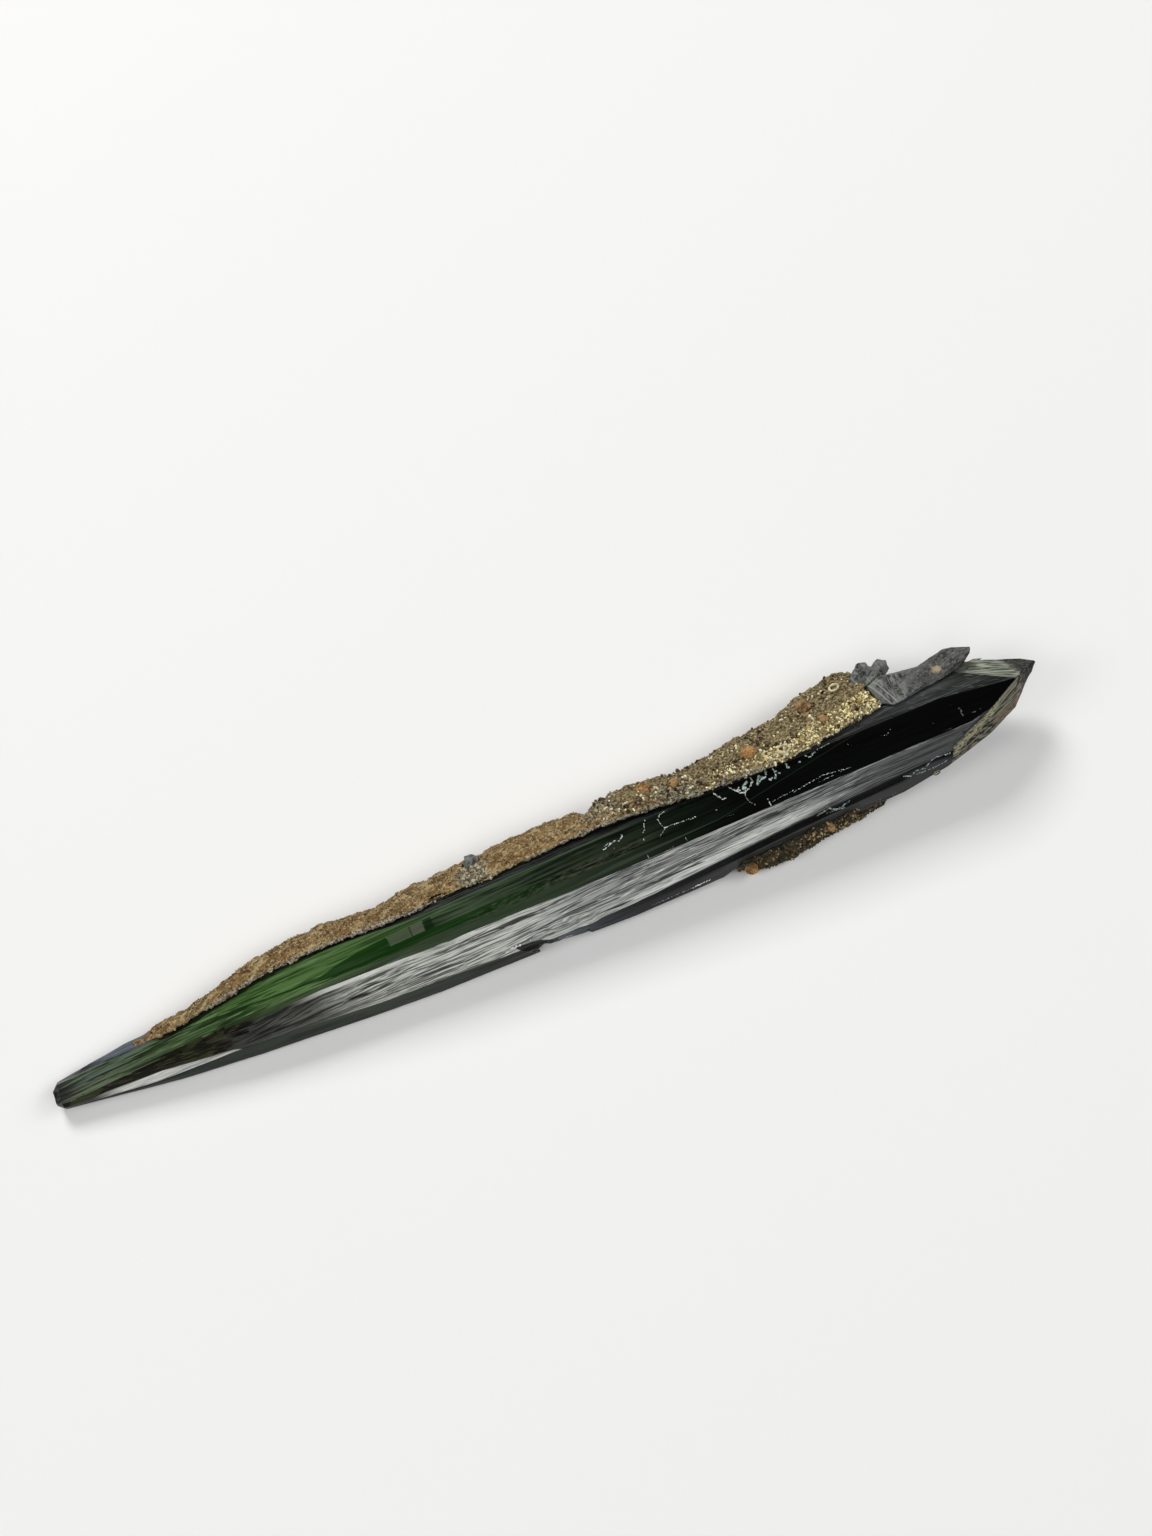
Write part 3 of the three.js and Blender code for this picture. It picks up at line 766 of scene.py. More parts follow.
def with_wedge_and_sheen_ray(f, colour, strength, hair):
    """Adds the pale wedge along the foot and a painted sheen, the bright ray that climbs past x =
    55.
    """
    wedge = f.both(f.step(f.x, 3.0, 7.0), f.step(f.over(f.z, [
        (0, 1.6), (10.6, 2.55), (18, 2.9), (19, 1.0)]), 0.0, -0.12))
    wedge_colour = f.mix(f.step(strength, 0.40, 0.58), srgb(0.60, 0.61, 0.60),
                         srgb(0.97, 0.97, 0.95))
    colour = f.paint(colour, wedge, 0.85, wedge_colour)
    # Painted sheen: a bright white ray across the hairs past x = 55.
    bright = f.between(f.z, [(0, 3.0), (56, 3.0), (74, 4.0), (90, 5.6)],
                       [(0, 3.3), (56, 3.4), (66, 4.6), (78, 6.0), (90, 6.4)], 0.35)
    bright = f.both(bright, f.band(f.x, 55, 83, 5.0), f.step(hair, 0.40, 0.58, 0.3, 1.0))
    return f.paint(colour, bright, 0.72, srgb(0.95, 0.96, 0.94))


# %% [markdown]
# ## The cleavage put together
# Two sets of hairs lean different ways, and a broad sheaf pattern chooses between them. Dark
# slits, glints, the lit top edge, the black undercut and the break are laid over the silver.

# %% The cleavage


def silver_cleavage():
    f = Finish("silver cleavage", IOR=CRYSTAL_IOR, Transmission_Weight=0.0,
               Specular_IOR_Level=0.15)
    top_edge = f.over(f.z, [(0, 2.1), (14, 3.9), (28, 5.4), (40, 6.2), (60, 7.2), (81, 8.2),
                            (101, 8.6)])
    shallow = f.streaks(top_edge, 6.0, 0.14, climb=-0.02, seed=1.0)
    steep = f.streaks(top_edge, 5.0, 0.14, climb=0.06, seed=2.0)
    sheaf = f.step(f.streaks(top_edge, 9.0, 2.0, seed=3.0), 0.46, 0.54)
    hair = f.math("ADD", f.both(shallow, f.math("SUBTRACT", 1.0, sheaf)), f.both(steep, sheaf))
    silky = f.streaks(top_edge, 14.0, 0.55, climb=0.015, seed=4.0)
    slits = f.streaks(top_edge, 9.0, 0.40, climb=-0.01, seed=5.0, detail=2)
    flecks = f.streaks(top_edge, 3.5, 0.20, climb=0.05, seed=6.0, detail=2)
    strength = f.math("ADD", f.math("MULTIPLY", hair, 0.66), f.math("MULTIPLY", silky, 0.34))
    colour = silver_colour(f, strength)
    colour = with_wedge_and_sheen_ray(f, colour, strength, hair)
    glints = f.both(f.step(flecks, 0.60, 0.66), f.band(f.x, 30, 88, 3.0))
    colour = f.paint(colour, glints, 0.8, srgb(0.92, 0.92, 0.90))
    colour = f.paint(colour, f.step(slits, 0.61, 0.65), 0.9, srgb(0.05, 0.055, 0.05))
    lens = f.both(f.band(f.x, 30.0, 32.5, 0.6), f.band(f.z, 4.0, 4.3, 0.12))
    colour = f.paint(colour, lens, 0.95, srgb(0.05, 0.06, 0.05))
    lit_edge = f.both(f.band(top_edge, -0.30, 0.10, 0.06), f.band(f.x, 27, 38, 3.0))
    colour = f.paint(colour, lit_edge, 0.75, srgb(0.92, 0.92, 0.90))
    # Painted glints: pale ticks along the top edge past x = 56.
    edge_glints = f.both(f.band(top_edge, -0.30, 0.5, 0.05), f.step(hair, 0.5, 0.56),
                        f.step(f.x, 56, 62))
    colour = f.paint(colour, edge_glints, 0.6, srgb(0.80, 0.80, 0.80))

    undercut = f.step(f.over(f.z, [(0, -9), (59, -9), (60, 2.8), (65, 3.4), (80, 4.2), (98.9, 4.9),
                                   (99, -9), (112, -9)]), 0.20, 0.12)
    colour = f.paint(colour, undercut, 0.95, srgb(0.01, 0.01, 0.01))
    colour = f.paint(colour, chipped(f), 0.95, srgb(0.01, 0.01, 0.01))
    normal = f.bump(silky, 0.10, 0.6)
    normal = f.bump(hair, 0.04, 0.6, normal)
    rough = f.step(hair, 0.3, 0.7, 0.30, 0.5)
    return crystal_surface(f, colour, rough, normal)


# %% [markdown]
# ## Ledge and walls
# Under the cleavage a narrow ledge is matt grey green. Past the chip it turns black, with a dark
# grey wall below it. Both mirror the pale floor, so their mirror share is kept low.

# %% The ledge and the walls


def dark_ledge():
    f = Finish("dark ledge", IOR=CRYSTAL_IOR, Transmission_Weight=0.0, Specular_IOR_Level=0.03)
    middling = middling_streaks(f, f.z, climb=0.04)
    speckle = f.noise(f.stretch((3.0, 6.0, 6.0)), detail=4, roughness=0.7)
    # Just past the break, at x = 52 to 57, the pale blue grey is a painted reflection of the floor.
    colour = f.over_x([
        (0, srgb(0.14, 0.14, 0.13)), (12, srgb(0.22, 0.24, 0.22)), (30, srgb(0.27, 0.30, 0.26)),
        (49, srgb(0.25, 0.26, 0.24)), (52, srgb(0.36, 0.38, 0.40)), (57, srgb(0.24, 0.25, 0.27)),
        (62, srgb(0.12, 0.125, 0.13)), (68, srgb(0.02, 0.02, 0.02)), (99, srgb(0.01, 0.01, 0.01)),
    ])
    colour = f.paint(colour, f.step(middling, 0.46, 0.60), 0.45, srgb(0.10, 0.11, 0.10))
    colour = f.paint(colour, f.step(speckle, 0.55, 0.75), 0.25, srgb(0.42, 0.42, 0.40))
    colour = f.paint(colour, chipped(f), 0.95, srgb(0.01, 0.01, 0.01))
    grey_lens = f.both(f.band(f.x, 93.5, 99, 1.0), f.step(f.ragged(f.z, 0.25), 4.7, 4.2))
    colour = f.paint(colour, grey_lens, 0.8, srgb(0.27, 0.29, 0.30))
    normal = f.bump(middling, 0.05, 0.5)
    normal = f.bump(speckle, 0.04, 0.4, normal)
    rough = f.step(f.x, 46, 62, 0.65, 0.5)
    return crystal_surface(f, colour, rough, normal)


def side_wall():
    f = Finish("side wall", IOR=CRYSTAL_IOR, Transmission_Weight=0.0, Specular_IOR_Level=0.04)
    fine = fine_streaks(f, f.z, climb=0.03)
    middling = middling_streaks(f, f.z, climb=0.03)
    # Just past the break, at x = 52 to 57, the pale blue grey is a painted reflection of the floor.
    colour = f.over_x([
        (0, srgb(0.14, 0.14, 0.14)), (20, srgb(0.21, 0.23, 0.21)), (49, srgb(0.22, 0.23, 0.21)),
        (52, srgb(0.40, 0.42, 0.44)), (57, srgb(0.26, 0.27, 0.29)), (62, srgb(0.25, 0.25, 0.26)),
        (80, srgb(0.29, 0.29, 0.29)), (99, srgb(0.24, 0.24, 0.24)),
    ])
    colour = f.paint(colour, f.step(middling, 0.47, 0.60), 0.5, srgb(0.10, 0.10, 0.10))
    colour = f.paint(colour, chipped(f), 0.95, srgb(0.01, 0.01, 0.01))
    crumb = f.cells(f.stretch((2.6, 2.6, 2.6)))["Distance"]
    crumbs = f.both(f.step(crumb, 0.30, 0.18), f.band(f.x, 89, 93.5, 0.5),
                    f.band(f.over(f.z, [(0, 2.0), (112, 2.3)]), -0.3, 0.2, 0.1))
    colour = f.paint(colour, crumbs, 0.8, srgb(0.52, 0.48, 0.38))
    # Painted shade: a black spot in the middle of the wall's ring, where its hole is.
    hole_shade = f.spot(f.math("SUBTRACT", f.x, 97.07), f.math("SUBTRACT", f.z, 2.69), 0.32, 0.08)
    colour = f.paint(colour, hole_shade, 0.95, srgb(0.01, 0.01, 0.01))
    shell = f.cells(f.stretch((1.6, 2.2, 2.2)), feature="DISTANCE_TO_EDGE")["Distance"]
    shelly = f.both(chipped(f), f.step(shell, 0.05, 0.02))
    colour = f.paint(colour, shelly, 0.5, srgb(0.55, 0.56, 0.57))
    normal = f.bump(middling, 0.06, 0.5)
    rough = f.step(fine, 0.3, 0.7, 0.30, 0.5)
    return crystal_surface(f, colour, rough, normal)


def plain_underside():
    f = Finish("underside", IOR=CRYSTAL_IOR, Transmission_Weight=0.25)
    fine = fine_streaks(f, f.y)
    middling = middling_streaks(f, f.y)
    colour = f.mix(f.step(middling, 0.40, 0.60), srgb(0.05, 0.07, 0.05), srgb(0.13, 0.18, 0.13))
    normal = f.bump(middling, 0.05, 0.5)
    rough = f.step(fine, 0.3, 0.7, 0.2, 0.4)
    return crystal_surface(f, colour, rough, normal)


# %% [markdown]
# ## The weathered point
# The bevels at the point are etched to a pale grey green. The back one has fine lines along
# it, the front one a crumbly cream band, a pinkish brown patch and a dark tip.

# %% The point


def weathered_point():
    f = Finish("weathered point", IOR=CRYSTAL_IOR, Transmission_Weight=0.0,
               Specular_IOR_Level=0.08)
    blotch = f.noise(f.stretch((0.5, 1.2, 1.2)), detail=5, roughness=0.65)
    lines_back = f.noise(f.stretch((0.25, 5.0, 5.0), 27.0), detail=4)
    lines_front = f.noise(f.stretch((0.22, 5.0, 3.5), -22.0), detail=4)
    crumbs = f.noise(f.stretch((2.6, 2.6, 2.6)), detail=4, roughness=0.7)
    pale = f.mix(f.step(lines_back, 0.43, 0.57), srgb(0.20, 0.22, 0.19), srgb(0.60, 0.62, 0.56))
    pale = f.paint(pale, f.step(blotch, 0.5, 0.62), 0.5, srgb(0.38, 0.40, 0.34))
    cream = f.mix(f.step(lines_front, 0.44, 0.56), srgb(0.10, 0.10, 0.09), srgb(0.48, 0.47, 0.40))
    grown = f.ragged(f.math("SUBTRACT", f.x, f.math("MULTIPLY", f.z, 1.61)), 0.5)
    low_edge = f.step(f.ragged(grown, 0.8), 93.0, 92.0)
    crumbly = f.both(f.band(f.x, 97, 105.5, 1.0), f.step(crumbs, 0.44, 0.56), low_edge)
    cream = f.paint(cream, crumbly, 0.8, srgb(0.66, 0.65, 0.52))
    bare = f.mix(f.step(lines_front, 0.44, 0.60), srgb(0.05, 0.05, 0.05), srgb(0.26, 0.27, 0.27))
    cream = f.mix(f.step(grown, 90.0, 90.4), bare, cream)
    rusty = f.both(f.band(f.ragged(f.x, 0.8), 104.6, 109.4, 0.5),
                   f.step(f.ragged(f.z, 0.5), 6.6, 6.0))
    cream = f.paint(cream, rusty, 0.8, f.mix(f.step(crumbs, 0.4, 0.6), srgb(0.26, 0.21, 0.17),
                                             srgb(0.50, 0.41, 0.33)))
    front = f.step(f.over(f.y, [(0, 0), (107.8, -1.6), (110, -0.7), (112, -0.2)]), 0.05, -0.05)
    colour = f.mix(front, pale, cream)
    stain = f.both(f.band(f.x, 103, 106.2, 0.6), f.step(f.ragged(f.y, 0.4), 2.4, 2.9))
    colour = f.paint(colour, stain, 0.7, srgb(0.34, 0.33, 0.20))
    tip = f.step(f.ragged(f.x, 0.5), 108.6, 109.4)
    colour = f.paint(colour, tip, 0.95, f.mix(f.step(crumbs, 0.45, 0.6), srgb(0.04, 0.04, 0.06),
                                             srgb(0.28, 0.27, 0.25)))
    normal = f.bump(lines_back, 0.05, 0.6)
    normal = f.bump(crumbs, 0.08, 0.5, normal)
    rough = f.step(blotch, 0.3, 0.7, 0.4, 0.65)
    return crystal_surface(f, colour, rough, normal)


def brown_flank():
    f = Finish("brown flank", IOR=CRYSTAL_IOR, Transmission_Weight=0.0, Specular_IOR_Level=0.05)
    thread = f.noise(f.stretch((0.3, 5.0, 5.0), 3.0), detail=3)
    threads = f.mix(f.step(thread, 0.45, 0.58), srgb(0.05, 0.05, 0.05), srgb(0.26, 0.26, 0.24))
    colour = f.mix(f.step(f.ragged(f.x, 1.5), 15, 20), brown_black(f), threads)
    rough = f.step(thread, 0.3, 0.7, 0.4, 0.6)
    return crystal_surface(f, colour, rough, f.bump(thread, 0.04, 0.5))


def blunt_end():
    f = Finish("blunt end", IOR=CRYSTAL_IOR, Transmission_Weight=0.0, Specular_IOR_Level=0.10)
    smears = f.noise(f.stretch((0.8, 1.8, 0.9)), detail=4, roughness=0.65)
    colour = f.mix(f.step(smears, 0.40, 0.62), srgb(0.07, 0.07, 0.07), srgb(0.30, 0.31, 0.30))
    rough = f.step(smears, 0.3, 0.7, 0.35, 0.6)
    return crystal_surface(f, colour, rough, f.bump(smears, 0.08, 0.5))


for finish in (green_top(), lined_bevel(), silver_cleavage(), dark_ledge(), side_wall(),
               plain_underside(), weathered_point(), brown_flank(), blunt_end()):
    blade.data.materials.append(finish)
work_on(blade)
bpy.ops.object.shade_smooth_by_angle(angle=math.radians(22))
flats_at = {}
for face in blade.data.polygons:
    for edge in face.edge_keys:
        flats_at.setdefault(edge, set()).add(face.material_index)
for edge in blade.data.edges:
    if len(flats_at[edge.key]) > 1:
        edge.use_edge_sharp = True
settle(blade, "crystal", "main_crystal")

# %% [markdown]
# ## Crusts of matrix
# The matrix is fine sand and clay, cemented and lumpy. A voxel remesh turns the copy into an
# even net of small faces, and cloud patterns raise lumps and grit, mostly outwards so that
# the crust stays on top of the crystal.

# %% The crust's finish


def crust_finish(name, colours, grit):
    f = Finish(name, IOR=1.5, Specular_IOR_Level=0.15)
    lump = f.noise(f.mm, 0.8, detail=5, roughness=0.6)
    grain = f.noise(f.mm, grit, detail=4, roughness=0.7)
    colour = f.mix(f.step(lump, 0.42, 0.58), colours[0], colours[1])
    colour = f.paint(colour, f.step(grain, 0.52, 0.66), 0.8, colours[2])
    colour = f.paint(colour, f.step(grain, 0.46, 0.36), 0.8, colours[3])
    return f, colour, grain


def finish_grainy(f, colour, grain):
    normal = f.bump(grain, 0.20, 0.8)
    rough = f.step(grain, 0.3, 0.7, 0.95, 0.8)
    return f.use(Base_Color=colour, Roughness=rough, Normal=normal)


def sandy_crust():
    f, colour, grain = crust_finish("brown sand", (
        srgb(0.42, 0.34, 0.22), srgb(0.54, 0.45, 0.30), srgb(0.76, 0.69, 0.54),
        srgb(0.20, 0.15, 0.09),
    ), 3.2)
    stains = f.noise(f.stretch((0.5, 1.3, 1.3), -20.0, (8, 1, 2)), detail=4, roughness=0.65)
    colour = f.paint(colour, f.step(stains, 0.53, 0.60), 0.55, srgb(0.40, 0.27, 0.14))
    colour = f.paint(colour, f.step(stains, 0.45, 0.38), 0.55, srgb(0.72, 0.66, 0.50))
    older = f.step(f.ragged(f.x, 3.0), 58, 68)
    grey_brown = f.mix(f.step(grain, 0.42, 0.60), srgb(0.26, 0.23, 0.16), srgb(0.60, 0.54, 0.40))
    colour = f.paint(colour, older, 0.85, grey_brown)
    pale_patches = ((44.8, 47.8, 1.0, 4.2), (59.5, 63.5, 3.0, 5.5), (67.5, 71.0, 0.5, 3.6))
    for low, high, near, far in pale_patches:
        patch = f.both(f.band(f.ragged(f.x, 0.8), low, high, 0.6),
                       f.band(f.ragged(f.y, 0.5), near, far, 0.4))
        pale_grey = f.mix(f.step(grain, 0.42, 0.60), srgb(0.22, 0.21, 0.18),
                          srgb(0.56, 0.55, 0.49))
        colour = f.paint(colour, patch, 0.65, pale_grey)
    behind_edge = f.over(f.y, CRUST_EDGE)
    rim = f.both(f.step(f.ragged(behind_edge, 0.2), 0.45, 0.15), f.step(f.x, 14, 20))
    colour = f.paint(colour, rim, 0.75, f.mix(f.step(grain, 0.42, 0.58), srgb(0.25, 0.24, 0.22),
                                              srgb(0.66, 0.65, 0.60)))
    near_blade = f.step(f.ragged(behind_edge, 0.8), 2.6, 1.9)
    golden = f.both(near_blade, f.band(f.ragged(f.x, 1.5), 78.5, 93, 1.6))
    # Golden grains with painted highlights: the olive gold is their colour, the near-white cell
    # centres are painted highlights.
    highlight_cells = f.cells(f.mm, 2.6)["Distance"]
    golden_colour = f.mix(f.step(highlight_cells, 0.42, 0.20), srgb(0.52, 0.46, 0.30), srgb(0.95, 0.91, 0.74))
    colour = f.paint(colour, f.both(golden, f.step(grain, 0.40, 0.52)), 0.8, golden_colour)
    return finish_grainy(f, colour, grain)


brown_sand = sandy_crust()

# %% [markdown]
# ## The two crusts
# The same steps make both. The smaller voxel on the front crust keeps its thin edge.

# %% Make the crusts
lumps = texture("lumps", "CLOUDS", 1.5, noise_depth=2)
grit = texture("grit", "CLOUDS", 0.42, noise_depth=3)
THIN_START = 12.5
THIN_DROP = 0.16
THIN_PULL = 0.14


def crust_from(node, name, voxel, finish):
    """A lumpy crust. Before THIN_START it slopes down and in towards the blade."""
    piece = copy_of(node, name)
    even_net(piece, voxel)
    roughen(piece, lumps, height=0.50, middle=0.45)
    roughen(piece, grit, height=0.34, middle=0.40)
    for corner in piece.data.vertices:
        early = max(0.0, THIN_START - from_end(corner.co).x) * MM
        corner.co.z -= THIN_DROP * early
        corner.co.y -= THIN_PULL * early
    keep_above_floor(piece)
    piece.data.materials.append(finish)
    work_on(piece)
    bpy.ops.object.shade_smooth_by_angle(angle=math.radians(40))
    settle(piece, "crust", node)
    return piece


def shaded_crust():
    f, colour, grain = crust_finish("shaded matrix", (
        srgb(0.14, 0.13, 0.10), srgb(0.22, 0.21, 0.16), srgb(0.42, 0.40, 0.31),
        srgb(0.08, 0.07, 0.06),
    ), 3.0)
    rusty = f.step(f.noise(f.mm, 0.6, detail=3), 0.55, 0.62)
    colour = f.paint(colour, rusty, 0.5, srgb(0.38, 0.32, 0.20))
    return finish_grainy(f, colour, grain)


back_crust = crust_from("back_crust", "matrix_back", voxel=0.17, finish=brown_sand)
front_crust = crust_from("front_crust", "matrix_front", voxel=0.12, finish=shaded_crust())

# %% [markdown]
# ## Sand grains
# Up close the crust is separate grains. One rough grain of twenty faces is modelled, then
# copied thousands of times onto the crusts, each copy turned and sized by chance. The dice
# are seeded, so every run lays the same grains. Each colour of grain is one joined piece.

# %% One grain and how it is strewn
GRAIN_ROUGHNESS = 0.38
GRAIN_SINK = 0.35
GRAIN_WIDTHS, GRAIN_HEIGHTS = (0.7, 1.0), (0.55, 1.0)
bpy.ops.object.select_all(action="DESELECT")
bpy.ops.mesh.primitive_ico_sphere_add(subdivisions=1, radius=1.0)
grain_model = bpy.context.object
bpy.ops.object.mode_set(mode="EDIT")
bpy.ops.mesh.select_all(action="SELECT")
bpy.ops.transform.vertex_random(offset=GRAIN_ROUGHNESS, seed=4)
bpy.ops.object.mode_set(mode="OBJECT")


def random_turn(dice):
    x, y, z = [Matrix.Rotation(dice.uniform(0, 2 * math.pi), 4, axis) for axis in "XYZ"]
    return x @ y @ z


def join_copies(name, model, placings, finish):
    """Copies model once for each placing matrix and joins the copies in one piece."""
    copies = []
    for placing in placings:
        copy = bpy.data.objects.new(name, model.data.copy())
        bpy.context.scene.collection.objects.link(copy)
        copy.data.transform(placing)
        copies.append(copy)
    bpy.ops.object.select_all(action="DESELECT")
    for copy in copies:
        copy.select_set(True)
    bpy.context.view_layer.objects.active = copies[0]
    bpy.ops.object.join()
    piece = bpy.context.object
    piece.name = name
    piece.data.materials.clear()
    piece.data.materials.append(finish)
    return piece


def strew(name, ground, count, sizes, wanted, finish, seed):
    """Lays grains on the faces of ground where wanted(place, normal) beats a roll of the dice."""
    dice = random.Random(seed)
    faces = ground.data.polygons
    placings = []
    while len(placings) < count:
        face = faces[dice.randrange(len(faces))]
        if dice.random() > wanted(from_end(face.center), face.normal):
            continue
        size = dice.uniform(*sizes) * MM
        place = face.center + face.normal * size * (1 - 2 * GRAIN_SINK)
        if place.z < size:
            continue
        width = size * dice.uniform(*GRAIN_WIDTHS)
        height = size * dice.uniform(*GRAIN_HEIGHTS)
        shape = Matrix.Diagonal((size, width, height, 1))
        placings.append(Matrix.Translation(place) @ random_turn(dice) @ shape)
    settle(join_copies(name, grain_model, placings, finish), "crust")


# %% [markdown]
# ## Which grains lie where
# Fine brown sand covers the whole crust. The grains turn coarser and greyer past x = 60, with
# clumps of cream and of dark umber crumbs. Beside the blade at x = 72 to 93 some are golden, and
# most of them past x = 79.
# A cloud function puts the clumps in patches. Pale grains line the crust's edge.

# %% Strew the grains


def grain_finish(name, low, high, rough=0.8, level=0.2):
    f = Finish(name, IOR=1.5, Specular_IOR_Level=level)
    tone = f.noise(f.mm, 2.2, detail=3, roughness=0.7)
    colour = f.mix(f.step(tone, 0.40, 0.60), low, high)
    roughness = f.step(tone, 0.3, 0.7, rough, rough * 0.8)
    return f.use(Base_Color=colour, Roughness=roughness)


def on_top(normal):
    return 1.0 if normal.z > 0.0 or normal.y > 0.2 else 0.1


def in_clump(place, size, least):
    """True in the patches of a cloud pattern of this size in millimetres."""
    return noise.noise(place / size) > least


def golden_share(place):
    """How often a grain here is golden: most often beside the blade past RICH_FROM."""
    near = place.y - along(CRUST_EDGE, place.x)
    if GOLD_FROM < place.x < GOLD_TO and near < GOLD_WIDTH:
        rich = 1.0 if place.x > RICH_FROM else 0.3
        return rich if in_clump(place, 1.2, -0.08) else 0.06
    return 0.02 * (place.x > GREY_FROM)


GREY_FROM, GOLD_FROM, RICH_FROM, GOLD_TO = 60, 72, 79, 93.2
GOLD_WIDTH = 2.4
TAN = grain_finish("tan grains", srgb(0.44, 0.35, 0.22), srgb(0.76, 0.68, 0.52))
DARK = grain_finish("dark grains", srgb(0.16, 0.11, 0.06), srgb(0.34, 0.25, 0.15))
GREY = grain_finish("grey grains", srgb(0.42, 0.40, 0.32), srgb(0.72, 0.69, 0.59))
GOLD = grain_finish("golden grains", srgb(0.70, 0.61, 0.36), srgb(1.0, 0.97, 0.78), 0.5, 0.4)
CREAM = grain_finish("cream crumbs", srgb(0.66, 0.61, 0.47), srgb(0.96, 0.93, 0.82))
UMBER = grain_finish("umber crumbs", srgb(0.14, 0.11, 0.07), srgb(0.38, 0.30, 0.19))
SHADED = grain_finish("shaded grains", srgb(0.20, 0.18, 0.14), srgb(0.50, 0.45, 0.35))
strew("sand_tan", back_crust, 3600, (0.04, 0.11),
      lambda p, n: on_top(n) * (1.0 if p.x < 62 else 0.4), TAN, 11)
strew("sand_dark", back_crust, 2400, (0.04, 0.12),
      lambda p, n: on_top(n) * (0.6 if in_clump(p, 1.2, 0.0) else 0.2), DARK, 12)
strew("sand_grey", back_crust, 1100, (0.05, 0.16),
      lambda p, n: on_top(n) * (0.10 if p.x < 58 else 1.0), GREY, 13)
strew("sand_gold", back_crust, 1500, (0.05, 0.17),
      lambda p, n: on_top(n) * golden_share(p), GOLD, 14)
strew("edge_grains", back_crust, 700, (0.05, 0.13),
      lambda p, n: float(p.y - along(CRUST_EDGE, p.x) < 0.30 and p.x > 13 and n.z > -0.2), GREY, 15)
strew("cream_crumbs", back_crust, 260, (0.08, 0.24),
      lambda p, n: on_top(n) * float(60 < p.x < 90 and in_clump(p, 2.6, 0.18)), CREAM, 18)
strew("umber_crumbs", back_crust, 330, (0.10, 0.30),
      lambda p, n: on_top(n) * float(60 < p.x < 93 and in_clump(p + Vector((9, 5, 0)), 2.2, 0.12)),
      UMBER, 19)
strew("block_crumbs", back_crust, 110, (0.10, 0.30),
      lambda p, n: float(45.4 < p.x < 48.2 and 1.4 < p.y < 4.2 and n.z > 0.1), GREY, 20)
strew("front_grains", front_crust, 420, (0.06, 0.18),
      lambda p, n: float(n.y < 0.5), SHADED, 16)
strew("front_dark_grains", front_crust, 380, (0.06, 0.20),
      lambda p, n: float(n.y < 0.5), UMBER, 17)
strew("front_tan_grains", front_crust, 200, (0.07, 0.20),
      lambda p, n: float(n.y < 0.5 and (p.x > 81.5 or in_clump(p, 1.4, 0.2))), TAN, 24)

# %% [markdown]
# ## Nodules
# Little balls of rust, rounded but pitted. Subdivision rounds the copied solid first, and two
# cloud patterns then dent it.

# %% Nodules


def rust_finish(name, low, high):
    f = Finish(name, IOR=1.5, Specular_IOR_Level=0.2)
    blotch = f.noise(f.mm, 1.3, detail=4, roughness=0.65)
    pits = f.noise(f.mm, 5.0, detail=3, roughness=0.7)
    colour = f.mix(f.step(blotch, 0.40, 0.58), low, high)
    colour = f.paint(colour, f.step(pits, 0.48, 0.38), 0.8, srgb(0.22, 0.15, 0.09))
    normal = f.bump(pits, 0.12, 0.7)
    rough = f.step(pits, 0.3, 0.7, 0.9, 0.65)
    return f.use(Base_Color=colour, Roughness=rough, Normal=normal)


BROWN_RUST = rust_finish("brown rust", srgb(0.41, 0.31, 0.20), srgb(0.65, 0.52, 0.36))
ORANGE_RUST = rust_finish("orange rust", srgb(0.44, 0.31, 0.17), srgb(0.70, 0.54, 0.34))
ORANGE_ONES = ("nodule_saddle", "nodule_front", "nodule_bright")
dents = texture("dents", "CLOUDS", 0.7, noise_depth=2)
NODULES = sorted(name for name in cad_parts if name.startswith("nodule"))
for name in NODULES:
    piece = copy_of(name, "rusty_" + name)
    divide = piece.modifiers.new("rounder", "SUBSURF")
    divide.levels = divide.render_levels = 2
    apply_all(piece)
    roughen(piece, dents, height=0.34, middle=0.45)
    roughen(piece, grit, height=0.12, middle=0.4)
    piece.data.materials.append(ORANGE_RUST if name in ORANGE_ONES else BROWN_RUST)
    work_on(piece)
    bpy.ops.object.shade_smooth()
    settle(piece, "nodule", name)

# %% [markdown]
# ## Grey crystals
# The tabular crystal behind the point and the little prisms are weathered to slate grey. They
# are cut in narrow strips like the blade, and two cloud patterns pit their flats and edges.

# %% Grey crystals


